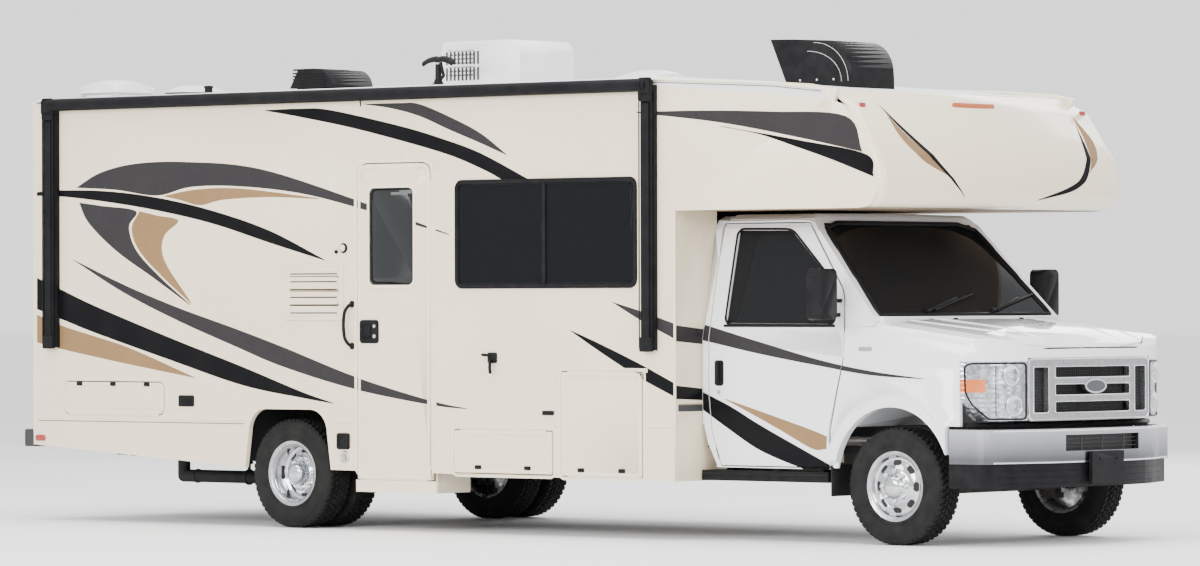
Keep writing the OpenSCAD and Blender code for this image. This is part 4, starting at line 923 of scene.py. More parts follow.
latch = Bench()
latch.plate(rounded((-0.976, 1.262), (-0.806, 1.42), 0.022), "y", leaf_face - 0.007, leaf_face)
latch.band(rounded((-0.972, 1.266), (-0.81, 1.416), 0.02), rounded((-0.945, 1.29), (-0.865, 1.392), 0.014),
        "y", leaf_face - 0.014, leaf_face - 0.006)
latch.plate(rounded((-0.94, 1.3), (-0.872, 1.385), 0.01), "y", leaf_face - 0.0125, leaf_face - 0.006)
latch.rod([(-0.932, leaf_face - 0.012, 1.31), (-0.905, leaf_face - 0.019, 1.307),
        (-0.88, leaf_face - 0.012, 1.31)], 0.006, 8)
latch.done("entry_latch", black_trim, "entry_door_body", "black_plastic", bevel=0.0015)

locks = Bench()
for x, z, radius in ((-0.836, 1.378, 0.0115), (-0.836, 1.31, 0.013)):
    locks.lathe([(0, 0.018), (radius * 0.5, 0.018), (radius, 0.0165), (radius * 1.1, 0.006), (0, 0.006)],
            (x, leaf_face, z), (0, -1, 0), 20)
    locks.block((x - 0.001, leaf_face - 0.0195, z - 0.006), (x + 0.001, leaf_face - 0.017, z + 0.006))
leaf_screw = rivet(0.0042, 0.002, (0, -1, 0), 8)
locks.add(row_of(leaf_screw, 11, screw_steel, (leaf_right - 0.016, leaf_face - 0.0034, 0.45), (0, 0, 0.19)))
leaf_screw = rivet(0.0042, 0.002, (0, -1, 0), 8)
locks.add(row_of(leaf_screw, 11, screw_steel, (leaf_left + 0.016, leaf_face - 0.0034, 0.45), (0, 0, 0.19)))
locks.done("entry_door_screws", screw_steel, "entry_door_body", "chrome")

door_frame = Bench()
door_frame.band(rounded((leaf_left - 0.034, 0.36), (leaf_right + 0.03, 2.495), 0.075),
        rounded((leaf_left - 0.0095, 0.3445), (leaf_right + 0.0095, 2.4775), 0.058), "y", -wall_face
        - 0.004, -wall_face + 0.001)
door_frame.done("entry_frame", trim_alloy, "motorhome", "house_white", bevel=0.0015)

gap_seal = Bench()
gap_seal.rod([(x, -wall_face + 0.004, z) for x, z in rounded((leaf_left - 0.0035, 0.348),
        (leaf_right + 0.0035, 2.4715), 0.056)], 0.0028, 6, closed=True)
gap_seal.done("entry_gap_seal", black_trim)

grab_bar = Bench()
grab_bar.rod(smooth_line([(-1.058, -wall_face, 1.526), (-1.066, -wall_face - 0.03, 1.512),
        (-1.086, -wall_face - 0.045, 1.47), (-1.096, -wall_face - 0.046, 1.385),
        (-1.086, -wall_face - 0.045, 1.3), (-1.066, -wall_face - 0.03, 1.257), (-1.058, -wall_face, 1.243)],
        5), 0.0115, 12)
for z in (1.526, 1.243):
    grab_bar.lathe([(0, 0), (0.024, 0), (0.024, 0.004), (0.017, 0.01), (0, 0.01)], (-1.058, -wall_face, z),
            (0, -1, 0), 18)
grab_bar.done("entry_grab_bar", black_trim)

lamp_glow = Finish("warm_lens", (0.8, 0.74, 0.6), 0.2, Coat_Weight=0.6)
lamp_glow.varied((0.85, 0.8, 0.68), (0.72, 0.66, 0.52), 60.0, 0.16, 0.14)
lamp_glow.relief(lamp_glow.node("ShaderNodeTexWave", {}, {"Vector": lamp_glow.place(), "Scale": 140.0}),
        0.4)
porch = Bench()
porch.lathe([(0, 0), (0.034, 0), (0.034, 0.008), (0.028, 0.014), (0, 0.014)], (-1.134, -wall_face, 1.905),
        (0, -1, 0), 28)
porch.lathe([(0, 0), (0.013, 0), (0.013, 0.012), (0, 0.015)], (-1.2, -wall_face, 1.88), (0, -1, 0), 16)
porch.done("porch_lamp_base", black_trim, bevel=0.001)
porch_lens = Bench()
porch_lens.lathe([(0, 0.012), (0.024, 0.012), (0.022, 0.02), (0.012, 0.026), (0, 0.0275)],
        (-1.134, -wall_face, 1.905), (0, -1, 0), 28)
porch_lens.done("porch_lamp_lens", lamp_glow, "motorhome", "lamp_clear")

hinge_leaf = Bench()
hinge_leaf.plate([(leaf_right + 0.017, 0.4), (leaf_right + 0.029, 0.4), (leaf_right + 0.029, 2.43),
        (leaf_right + 0.017, 2.43)], "y", -wall_face - 0.0046, -wall_face - 0.003)
hinge_screw = rivet(0.0036, 0.0008, (0, -1, 0), 8)
hinge_leaf.add(row_of(hinge_screw, 14, trim_alloy, (leaf_right + 0.0235, -wall_face - 0.0045, 0.46),
        (0, 0, 0.15)))
hinge_leaf.done("entry_hinge_leaf", trim_alloy, "motorhome", "house_white")

step_tread = Bench()
tread_rib = Bench().block((-0.27, -0.004, -0.0015), (0.27, 0.004, 0.0025))
step_tread.add(row_of(tread_rib, 12, black_trim, (-0.655, -1.21, 0.352), (0, 0.02, 0)))
step_tread.done("step_tread_ribs", black_trim)


# ---- Baggage doors ----
# Moulded leaves with a rolled edge, hung on a piano hinge and held shut by compression latches
# with black thumb tabs. The bottom-hinged one latches along its top edge.

for node in ("bag_door_right_rear", "bag_door_right_mid", "bag_door_right_front", "bag_door_left"):
    skin(node, gelcoat)

hatches = [("rear", -1, -3.857, 0.754, -2.849, 0.989, 0.055, "top", 3),
        ("mid", -1, -0.128, 0.401, 0.747, 0.695, 0.03, "bottom", 2), ("front", -1, 0.819, 0.396, 1.521,
        1.086, 0.03, "bottom", 2), ("left", 1, -0.650, 0.401, 0.700, 0.780, 0.03, "bottom", 3)]
for name, side, left, low, right, high, radius, edge, count in hatches:
    face = side * 1.276
    body = "bag_door_" + name + "_body"
    rolled = Bench()
    near, far = sorted((face + side * 0.003, face - side * 0.002))
    rolled.band(rounded((left + 0.011, low + 0.011), (right - 0.011, high - 0.011), radius),
            rounded((left + 0.029, low + 0.029), (right - 0.029, high - 0.029), max(radius - 0.016, 0.01)),
            "y", near, far)
    rolled.done("bag_door_edge_" + name, trim_alloy, body, "house_white", bevel=0.0012)
    tabs = Bench()
    z = high - 0.02 if edge == "top" else low + 0.045
    for i in range(count):
        x = left + (right - left) * (i + 0.5) / count
        tabs.plate(rounded((x - 0.028, z - 0.013), (x + 0.028, z + 0.013), 0.006), "y",
                *sorted((face, face + side * 0.006)))
        tabs.rod([(x - 0.02, face + side * 0.0065, z - 0.004), (x + 0.02, face + side * 0.0065, z - 0.004)],
                0.0045, 8)
    tabs.done("bag_door_latches_" + name, black_trim, body, "black_plastic", bevel=0.0012)
    surround = Bench()
    near, far = sorted((side * (wall_face + 0.0025), side * (wall_face - 0.001)))
    surround.band(rounded((left - 0.024, low - 0.022), (right + 0.024, high + 0.022), radius + 0.02),
            rounded((left - 0.0085, low - 0.0085), (right + 0.0085, high + 0.0085), radius + 0.006), "y",
            near, far)
    surround.done("bag_door_frame_" + name, trim_alloy, "motorhome", "house_white", bevel=0.001)
    seal = Bench()
    seal.rod([(x, side * (wall_face - 0.004), z) for x, z in rounded((left - 0.0035, low - 0.0035),
            (right + 0.0035, high + 0.0035), radius + 0.003)], 0.0028, 6, closed=True)
    seal.done("bag_door_seal_" + name, black_trim)


# ---- Fittings on the entry side ----
# A louvred fridge vent with quarter-turn screws, the black fuel filler, a keyed water inlet,
# a furnace vent, an outlet cover and red and amber side markers, each screwed to the wall.

skin("fridge_vent", gelcoat)
vent_low, vent_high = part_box("fridge_vent")
louvres = Bench()
fin = Bench()
fin.loops([[(x, 0, -0.012), (x, -0.001, -0.012), (x, -0.0075, 0.008), (x, -0.0045, 0.014), (x, 0, 0.014)]
        for x in (-0.225, 0.225)])
louvres.add(row_of(fin, 6, gelcoat, ((vent_low.x + vent_high.x) / 2, vent_low.y, vent_low.z + 0.066),
        (0, 0, 0.053)))
louvres.band(rounded((vent_low.x + 0.002, vent_low.z + 0.002), (vent_high.x - 0.002, vent_high.z - 0.002),
        0.02), rounded((vent_low.x + 0.018, vent_low.z + 0.018), (vent_high.x - 0.018, vent_high.z - 0.018),
        0.012), "y", vent_low.y - 0.003, vent_low.y + 0.001)
louvres.done("fridge_vent_louvres", gelcoat, "motorhome", "house_white", bevel=0.0008)
shadow_slot = Bench()
slot_bar = Bench().plate(rounded((-0.22, -0.004), (0.22, 0.004), 0.003, 3), "y", -0.0008, 0.0006)
shadow_slot.add(row_of(slot_bar, 6, black_trim, ((vent_low.x + vent_high.x) / 2, vent_low.y, vent_low.z
        + 0.048), (0, 0, 0.053)))
shadow_slot.done("fridge_vent_slots", black_trim)

fittings = Bench()
fittings.plate(rounded((-1.195, 0.545), (-1.08, 0.655), 0.018), "y", -wall_face - 0.014, -wall_face)
fittings.band(rounded((-1.19, 0.55), (-1.085, 0.65), 0.016), rounded((-1.175, 0.565), (-1.1, 0.635), 0.012),
        "y", -wall_face - 0.019, -wall_face - 0.012)
fittings.plate(rounded((-2.707, 0.819), (-2.56, 0.897), 0.012), "y", -wall_face - 0.01, -wall_face)
fittings.add(row_of(Bench().block((-0.055, -0.004, -0.003), (0.055, 0.0, 0.003)), 4, black_trim,
        (-2.6335, -wall_face - 0.01, 0.837), (0, 0, 0.0135)))
fittings.plate(rounded((0.18, 1.135), (0.257, 1.205), 0.012), "y", -wall_face - 0.013, -wall_face)
fittings.rod(smooth_line([(0.2, -wall_face - 0.01, 1.15), (0.222, -wall_face - 0.034, 1.14),
        (0.225, -wall_face - 0.04, 1.1), (0.222, -wall_face - 0.03, 1.066)], 4), 0.0105, 10)
fittings.rod([(0.13, -wall_face - 0.012, 1.19), (0.2, -wall_face - 0.012, 1.185)], 0.009, 10)
fittings.plate(rounded((0.657, 0.796), (0.757, 0.825), 0.008), "y", -wall_face - 0.009, -wall_face)
fittings.done("entry_side_fittings", black_trim, bevel=0.0015)

inlet = Bench()
inlet.lathe([(0, 0.002), (0.018, 0.002), (0.022, 0.009), (0.036, 0.011), (0.04, 0.007), (0.042, 0), (0, 0)],
        (-1.129, -wall_face, 0.493), (0, -1, 0), 30)
inlet.lathe([(0, 0.006), (0.014, 0.006), (0.016, 0.013), (0, 0.015)], (-1.129, -wall_face, 0.493),
        (0, -1, 0), 20)
inlet.done("water_inlet", screw_steel, "motorhome", "chrome", bevel=0.0008)

red_lens = Finish("red_lens", (0.3, 0.01, 0.008), 0.14, Coat_Weight=0.4)
red_lens.varied((0.36, 0.014, 0.012), (0.24, 0.008, 0.008), 70.0, 0.1, 0.12)
red_lens.relief(red_lens.node("ShaderNodeTexWave", {"bands_direction": "Z"},
        {"Vector": red_lens.place(), "Scale": 60.0}), 0.5)
amber_lens = Finish("amber_lens", (0.45, 0.085, 0.01), 0.15, Coat_Weight=0.4)
amber_lens.varied((0.5, 0.1, 0.012), (0.36, 0.065, 0.008), 70.0, 0.1, 0.12)
amber_lens.relief(amber_lens.node("ShaderNodeTexWave", {"bands_direction": "X"},
        {"Vector": amber_lens.place(), "Scale": 60.0}), 0.5)


def marker(name, finish, spot, half, out, slot):
    """A low domed marker lens on its base, facing along a row axis."""
    axis = "xyz"[max(range(3), key=lambda i: abs(out[i]))]
    direction = out["xyz".index(axis)]
    depth = spot["xyz".index(axis)]
    u, v = [spot[i] for i in range(3) if "xyz"[i] != axis]
    lens = Bench()
    rings = []
    for share, lift in ((1.0, 0.0), (1.0, 0.004), (0.86, 0.011), (0.5, 0.014)):
        outline = rounded((u - half[0] * share, v - half[1] * share), (u + half[0] * share, v + half[1]
                * share), min(half) * 0.9 * share, 5)
        rings.append([lens.axes[axis](a, b, depth + direction * lift) for a, b in outline])
    lens.loops(rings)
    lens.done(name, finish, "motorhome", slot)


for side, name in ((-1, "right"), (1, "left")):
    marker("rear_side_marker_" + name, red_lens, (-4.094, side * wall_face, 0.583), (0.052, 0.022),
            (0, side, 0), "lamp_red")


# ---- Awning ----
# A roll of black vinyl cloth on a spring tube, closed by the tube's end caps. Its folded arms
# are black extrusions with a channel down the face, hung from brackets at the roof edge.

awning_black = Finish("awning_black", (0.008, 0.008, 0.009), 0.5, Specular_IOR_Level=0.06)
awning_black.varied((0.007, 0.007, 0.008), (0.011, 0.011, 0.012), 7.0, 0.46, 0.1)
awning_black.relief(awning_black.grain(380, 4, (1, 6, 6)), 0.35)
skin("awning", awning_black)

roller_start = (-3.936, -1.315, 2.936)
roller_length = 5.506
roller = Bench()
lap = [(0.0405, 0.0), (0.0411, 0.002), (0.0411, 0.05), (0.0417, 0.052), (0.0417, roller_length - 0.05),
        (0.0409, roller_length)]
roller.lathe([(0.038, 0.0)] + lap + [(0.038, roller_length)], roller_start, (1, 0, 0), 28, closed=True)
for x in (-3.95, 1.578):
    roller.lathe([(0, -0.012), (0.034, -0.012), (0.0425, -0.004), (0.0425, 0.012), (0.034, 0.02),
            (0, 0.02)], (x, -1.315, 2.936), (1, 0, 0), 28)
roller.rod([(-0.9, -1.35, 2.915), (-0.9, -1.352, 2.89), (-0.9, -1.35, 2.855)], 0.005, 6, flat=0.4)
roller.done("awning_roll", awning_black, "motorhome", "awning_black")

arms = Bench()
for x in (-3.963, 1.589):
    for edge in (-0.052, 0.052):
        arms.rod([(x + edge, -1.3235, 1.24), (x + edge, -1.3235, 2.86)], 0.0045, 8)
    arms.plate(rounded((x - 0.03, 1.27), (x + 0.03, 2.82), 0.012), "y", -1.3255, -1.3215)
    arms.plate(rounded((x - 0.055, 2.83), (x + 0.055, 2.985), 0.02), "y", -1.331, -1.318)
    arms.plate(rounded((x - 0.05, 1.215), (x + 0.05, 1.31), 0.014), "y", -1.331, -1.3)
    arm_bolt = rivet(0.008, 0.005, (0, -1, 0), 6)
    arms.add(row_of(arm_bolt, 4, awning_black, (x, -1.3253, 1.42), (0, 0, 0.42)))
arms.done("awning_arm_channels", awning_black, "motorhome", "awning_black", bevel=0.0015)


# ---- Roof ----
# One sheet of white membrane rolled over the edges, with self-levelling sealant round everything
# that passes through it.

membrane = Finish("roof_membrane", (0.72, 0.72, 0.7), 0.55)
membrane.varied((0.74, 0.74, 0.72), (0.66, 0.66, 0.635), 2.4, 0.48, 0.2)
membrane.relief(membrane.grain(150, 5), 0.3)
skin("house_roof", membrane)

moulded_white = Finish("moulded_white", (0.78, 0.78, 0.775), 0.35, Coat_Weight=0.15)
moulded_white.varied((0.8, 0.8, 0.795), (0.74, 0.74, 0.73), 5.0, 0.3, 0.14)
moulded_white.relief(moulded_white.grain(420), 0.15)

sealant = Bench()
for x, y, half_x, half_y in ((-0.78, 0, 0.37, 0.29), (-3.8, -0.8, 0.19, 0.19), (0.535, 0, 0.21, 0.21),
        (-2.455, 0, 0.225, 0.205)):
    outline = rounded((x - half_x, y - half_y), (x + half_x, y + half_y), 0.05)
    sealant.rod([(u, v, roof_top + 0.001) for u, v in outline], 0.012, 8, closed=True)
sealant.rod([(-3.56 + 0.22 * math.cos(a), -0.25 + 0.22 * math.sin(a), roof_top + 0.001)
        for a in [math.tau * i / 32 for i in range(32)]], 0.012, 8, closed=True)
for x in (-3.3, -1.9, 0.1, 1.2):
    sealant.rod([(x, -1.16, roof_top + 0.001), (x + 0.02, 0, roof_top + 0.0015),
            (x, 1.16, roof_top + 0.001)], 0.004, 6)
sealant.done("roof_sealant", membrane, "motorhome", "roof_white")


# ---- Air conditioner ----
# A white moulded shroud on a black base pan. Its rear half breathes through two rows of upright
# slots on each side and three across the back, drawn as dark plates of painted shade, and two
# screws hold it down behind.

skin("roof_ac", moulded_white)
ac_low, ac_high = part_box("roof_ac")
# Near-black: the grille mesh's own black, and painted shade in the air conditioner's slots, behind the grille
# mesh and in the bumper's opening.
dark_vent = Finish("dark_vent", (0.02, 0.021, 0.022), 0.7)
dark_vent.varied((0.012, 0.012, 0.013), (0.035, 0.035, 0.036), 40.0, 0.6, 0.25)
dark_vent.relief(dark_vent.grain(320), 0.4)
# The slots are dark plates on the shroud's faces: painted shade where the openings are.
ac_slot_shade = Bench()
for side in (-1, 1):
    face = ac_low.y if side < 0 else ac_high.y
    for z in (3.105, 3.215):
        slit = Bench().plate(rounded((-0.0085, -0.046), (0.0085, 0.046), 0.008, 4), "y",
                *sorted((side * 0.002, -side * 0.002)))
        ac_slot_shade.add(row_of(slit, 9, dark_vent, (ac_low.x + 0.05, face, z), (0.036, 0, 0)))
for z in (3.1, 3.17, 3.24):
    slit = Bench().plate(rounded((-0.22, -0.012), (0.22, 0.012), 0.01, 4), "x", -0.002, 0.002)
    ac_slot_shade.add(row_of(slit, 1, dark_vent, (ac_low.x, 0, z)))
ac_slot_shade.done("air_conditioner_slots", dark_vent)
ac_pan = Bench()
ac_pan.band(rounded((ac_low.x - 0.04, -0.3), (ac_high.x + 0.02, 0.3), 0.06),
        rounded((ac_low.x + 0.01, -0.27), (ac_high.x - 0.03, 0.27), 0.04), "z", roof_top, roof_top + 0.035)
ac_pan.done("air_conditioner_pan", black_trim, bevel=0.004)
ac_ribs = Bench()
ac_rib = Bench().rod([(-0.16, 0, 0), (0.16, 0, 0)], 0.006, 8)
ac_ribs.add(row_of(ac_rib, 5, moulded_white, (ac_low.x + 0.42, -0.16, ac_high.z - 0.0065), (0, 0.08, 0)))
ac_screw = rivet(0.009, 0.005, (0, 0, 1), 8)
ac_ribs.add(row_of(ac_screw, 2, moulded_white, (ac_low.x + 0.06, -0.2, ac_high.z - 0.006), (0, 0.4, 0)))
ac_ribs.done("air_conditioner_ribs", moulded_white, "motorhome", "roof_white")


# ---- Roof vents, domes and antenna ----
# A clear-white acrylic skylight, a round lens vent, a black louvred fan cover and a low dome,
# and a black wing antenna on a short mast.

vents = skin("roof_vents", moulded_white)
vents.data.materials.append(black_trim.material)
vent_mesh = vents.data
for face in vent_mesh.polygons:
    if -2.75 < face.center.x < -2.15:
        face.material_index = 1

dome_white = Finish("dome_white", (0.66, 0.7, 0.74), 0.16, Coat_Weight=0.5)
dome_white.varied((0.7, 0.74, 0.78), (0.6, 0.64, 0.68), 3.0, 0.12, 0.1)
dome_white.relief(dome_white.grain(3, 2), 0.3, 0.004)


def dome(bench, centre, half_x, half_y, foot, tall, rings=7):
    """A blown acrylic dome on a flat flange."""
    stack = []
    for i in range(rings + 1):
        angle = math.pi / 2 * i / rings
        share = math.cos(angle)
        grow = max(share, 0.02)
        outline = rounded((centre[0] - half_x * grow, centre[1] - half_y * grow),
                (centre[0] + half_x * grow, centre[1] + half_y * grow), min(half_x, half_y) * grow * 0.55,
                6)
        stack.append([(x, y, foot + tall * math.sin(angle)) for x, y in outline])
    flange = rounded((centre[0] - half_x * 1.08, centre[1] - half_y * 1.08),
            (centre[0] + half_x * 1.08, centre[1] + half_y * 1.08), min(half_x, half_y) * 0.5, 6)
    bench.loops([[(x, y, foot - 0.012) for x, y in flange], [(x, y, foot) for x, y in flange]] + stack)


domes = Bench()
dome(domes, (-3.8, -0.8), 0.172, 0.172, 3.012, 0.078)
domes.done("skylight_dome", dome_white, "motorhome", "roof_white")

vent_rings = Bench()
vent_rings.lathe([(0.2155, 3.028), (0.2175, 3.03), (0.2175, 3.038), (0.2155, 3.04)], (-3.56, -0.25, 0),
        (0, 0, 1), 48, closed=True)
vent_rings.rod([(-3.06, -0.62, roof_top), (-3.06, -0.62, roof_top + 0.06)], 0.028, 16)
vent_rings.lathe([(0, 0.06), (0.028, 0.06), (0.036, 0.066), (0.032, 0.078), (0, 0.082)],
        (-3.06, -0.62, roof_top), (0, 0, 1), 20)
vent_rings.done("vent_ring_and_pipe", black_trim)

cover_grooves = Bench()
cover_fin = Bench().loops([[(0, y, 0), (0.006, y, 0.012), (0.022, y, 0.012), (0.026, y, 0)]
        for y in (-0.185, 0.185)])
cover_grooves.add(row_of(cover_fin, 6, black_trim, (-2.655, 0, 3.176), (0.036, 0, 0)))
for side in (-1, 1):
    side_fin = Bench().loops([[(x, 0, 0), (x, side * 0.005, 0.002), (x, side * 0.005, 0.009), (x, 0, 0.012)]
            for x in (-0.19, 0.12)])
    cover_grooves.add(row_of(side_fin, 5, black_trim, (-2.45, side * 0.199, 3.065), (0, 0, 0.021)))
cover_grooves.done("fan_cover_louvres", black_trim, bevel=0.001)

antenna = Bench()
mast = (-0.86, -0.62)
antenna.lathe([(0, 0), (0.075, 0), (0.07, 0.022), (0.035, 0.04), (0.022, 0.07), (0.02, 0.17), (0.0, 0.17)],
        (mast[0], mast[1], roof_top), (0, 0, 1), 24)
wing = [(0.25, 0.0, 3.165), (0.17, 0, 3.185), (0.06, 0, 3.195), (0, 0, 3.19), (-0.06, 0, 3.195),
        (-0.17, 0, 3.185), (-0.25, 0, 3.165)]
antenna.rod([(mast[0] + x * 0.55, mast[1] + y, z) for x, y, z in smooth_line(wing, 3)], 0.026, 12,
        flat=0.55)
antenna.rod([(mast[0] - 0.03, mast[1], 3.01), (mast[0] + 0.05, mast[1], 3.08),
        (mast[0] + 0.02, mast[1], 3.17)], 0.012, 8)
antenna.done("wing_antenna", black_trim)


# ---- Bed vent scoop ----
# A black moulded wind scoop over the bed's vent, open at the back, with two pale stitched piping
# lines that follow its curved side and small bolts through its white foot brackets.

skin("bed_vent_cover", black_trim)
scoop_low, scoop_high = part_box("bed_vent_cover")
piping_white = Finish("piping_white", (0.55, 0.55, 0.54), 0.5)
piping_white.varied((0.6, 0.6, 0.59), (0.45, 0.45, 0.44), 30.0, 0.42, 0.2)
piping_white.relief(piping_white.grain(600), 0.3)
piping = Bench()
span = scoop_high.x - scoop_low.x
for side in (-1, 1):
    face = side * (scoop_high.y + 0.0005)
    for inset in (0.03, 0.085):
        line = []
        for i in range(13):
            angle = math.pi / 2 * i / 12
            line.append((scoop_high.x - inset - (span * 0.42) * (1 - math.sin(math.pi / 2 - angle)), face,
                    roof_top - 0.02 + (scoop_high.z - inset - roof_top + 0.02) * math.sin(angle)))
        piping.rod(line, 0.0016, 6)
    foot_bolt = rivet(0.008, 0.005, (0, side, 0), 6)
    piping.add(row_of(foot_bolt, 3, piping_white, (scoop_low.x + 0.25, face, roof_top - 0.005),
            (0.14, 0, 0)))
piping.done("scoop_piping", piping_white, "motorhome", "roof_white")


# ---- Nose cap ----
# The moulded cap over the bed is the same gelcoat, rounded into the roof, with a soft crease low
# down. Two small oval marker lamps sit near its corners and an amber bar above the middle.

skin("nose_cap", gelcoat, 40)


def surface(mesh):
    """A mesh's faces, ready for ray casts."""
    return BVHTree.FromPolygons([v.co for v in mesh.vertices], [face.vertices for face in mesh.polygons])


def touch(node, start, way):
    """The point of a CAD node's skin that is met from a start point along a way."""
    return surface(nodes[node].data).ray_cast(Vector(start), Vector(way))[0]


for side, name in ((-1, "right"), (1, "left")):
    spot = touch("nose_cap", (5, side * 1.17, 2.77), (-1, 0, 0))
    marker("nose_marker_" + name, red_lens, (spot[0] - 0.002, spot[1], spot[2]), (0.032, 0.018), (1, 0, 0),
            "lamp_red")
bar_x = touch("nose_cap", (5, 0.02, 2.785), (-1, 0, 0)).x
marker("nose_amber_bar", amber_lens, (bar_x - 0.002, 0.0255, 2.785), (0.225, 0.026), (1, 0, 0), "lamp_red")


# ---- Rear of the house ----
# Tail lamps with ribbed red lenses and a clear reversing pane, small clearance lamps at the top,
# a blank plate under its lamp, a rubber-tipped bumper and the trailer socket beside the hitch.

skin("tail_lamps", red_lens)
clear_lens = Finish("clear_lens", (0.75, 0.77, 0.78), 0.1, Coat_Weight=0.8)
clear_lens.varied((0.8, 0.82, 0.83), (0.62, 0.64, 0.66), 60.0, 0.08, 0.12)
clear_lens.relief(clear_lens.node("ShaderNodeTexWave", {"bands_direction": "Z"},
        {"Vector": clear_lens.place(), "Scale": 50.0}), 0.5)
reversing = Bench()
lamp_rims = Bench()
for side in (-1, 1):
    reversing.plate(rounded((side * 1.085 - 0.085, 0.875), (side * 1.085 + 0.085, 0.925), 0.012), "x",
            -4.2005, -4.187)
    outer = rounded((min(side * 0.979, side * 1.191), 0.854), (max(side * 0.979, side * 1.191), 1.126),
            0.02)
    inner = rounded((min(side * 0.986, side * 1.184), 0.861), (max(side * 0.986, side * 1.184), 1.119),
            0.016)
    lamp_rims.band(outer, inner, "x", -4.185, -4.164)
lamp_rims.plate(rounded((-0.75, 0.93), (-0.55, 0.985), 0.012), "x", -4.178, -4.164)
reversing.done("reversing_lens", clear_lens, "motorhome", "lamp_clear")
lamp_rims.done("rear_lamp_rims", black_trim, bevel=0.0015)
plate_white = Finish("plate_white", (0.7, 0.7, 0.69), 0.35)
plate_white.varied((0.72, 0.72, 0.71), (0.66, 0.66, 0.65), 20.0, 0.3, 0.15)
plate_white.relief(plate_white.grain(500), 0.15)
rear_plate = Bench()
rear_plate.band(rounded((-0.805, 0.775), (-0.495, 0.925), 0.012), rounded((-0.795, 0.785), (-0.505, 0.915),
        0.01), "x", -4.171, -4.166)
rear_plate.plate(rounded((-0.8, 0.78), (-0.5, 0.92), 0.01), "x", -4.1685, -4.165)
rear_plate.done("rear_blank_plate", plate_white, "motorhome", "roof_white")
for i, y in enumerate((-0.18, 0.0, 0.18)):
    marker(f"rear_clearance_lamp_{i + 1}", red_lens, (-4.165, y, 2.86), (0.036, 0.014), (-1, 0, 0),
            "lamp_red")
rear_trim = Bench()
for side in (-1, 1):
    rear_trim.plate(rounded((min(side * 1.14, side * 1.232), 0.518), (max(side * 1.14, side * 1.232),
            0.642), 0.02), "x", -4.2968, -4.29)
rear_trim.lathe([(0, 0), (0.028, 0), (0.032, 0.01), (0.032, 0.04), (0.02, 0.046), (0, 0.046)],
        (-4.185, 0.22, 0.49), (-1, 0, 0), 20)
rear_trim.done("bumper_tips_and_socket", black_trim, bevel=0.002)


# ---- Cab body ----
# Pressed steel in white enamel under clear coat. The A-pillar, the sills and the roof under the
# bed are one shell, with a drip rail over each door and dark seals in every gap.

cab_enamel = Finish("cab_enamel", (0.82, 0.83, 0.845), 0.22, Coat_Weight=1.0, Coat_Roughness=0.03)
cab_enamel.varied((0.83, 0.84, 0.855), (0.8, 0.81, 0.825), 1.5, 0.2, 0.06)
cab_enamel.relief(cab_enamel.grain(2.2, 2), 0.25, 0.003)
for node in ("cab_body", "front_fenders", "cab_door_left", "cab_door_right", "hood"):
    skin(node, cab_enamel, 26)

windshield_glass = Finish("windshield_glass", (0.014, 0.015, 0.016), 0.02, Transmission_Weight=0.3,
        IOR=1.22, Specular_IOR_Level=0.15)
windshield_glass.set(Roughness=windshield_glass.between(windshield_glass.grain(2.0), 0.3, 0.7, 0.01, 0.045))
for node in ("windshield", "cab_glass_left", "cab_glass_right"):
    skin(node, windshield_glass)


def along_skin(node, points, way, lift):
    """Points moved along a way onto a CAD node's skin, then lifted off it."""
    tree = surface(nodes[node].data)
    laid = []
    for point in points:
        met, normal = tree.ray_cast(Vector(point), Vector(way))[:2]
        if met is not None:
            laid.append(met + normal * lift)
    return laid


def rounded_line(points, radius, steps=4):
    """A closed outline with each corner eased by a small curve."""
    count = len(points)
    line = []
    for i, corner in enumerate(points):
        corner = Vector(corner)
        before = Vector(points[i - 1]) - corner
        after = Vector(points[(i + 1) % count]) - corner
        reach = min(radius, before.length * 0.45, after.length * 0.45)
        one, two = corner + before.normalized() * reach, corner + after.normalized() * reach
        for k in range(steps + 1):
            t = k / steps
            line.append(tuple((1 - t) ** 2 * one + 2 * t * (1 - t) * corner + t ** 2 * two))
    return line


door_outline = [(1.944, 0.488), (2.832, 0.488), (2.84, 0.721), (2.9, 0.96), (2.957, 1.179), (2.957, 1.34),
        (2.922, 1.597), (2.572, 2.036), (1.884, 2.036), (1.862, 1.72), (1.86, 1.361), (1.86, 0.96),
        (1.884, 0.7)]
glass_outline = [(1.979, 1.399), (2.869, 1.394), (2.862, 1.53), (2.839, 1.641), (2.437, 1.993),
        (1.998, 1.998)]


def fine(points, pitch=0.05):
    """The closed outline with a point at least every pitch."""
    line = []
    for one, two in zip(points, points[1:] + points[:1]):
        one, two = Vector(one), Vector(two)
        count = max(1, int((two - one).length / pitch))
        line += [tuple(one.lerp(two, k / count)) for k in range(count)]
    return line


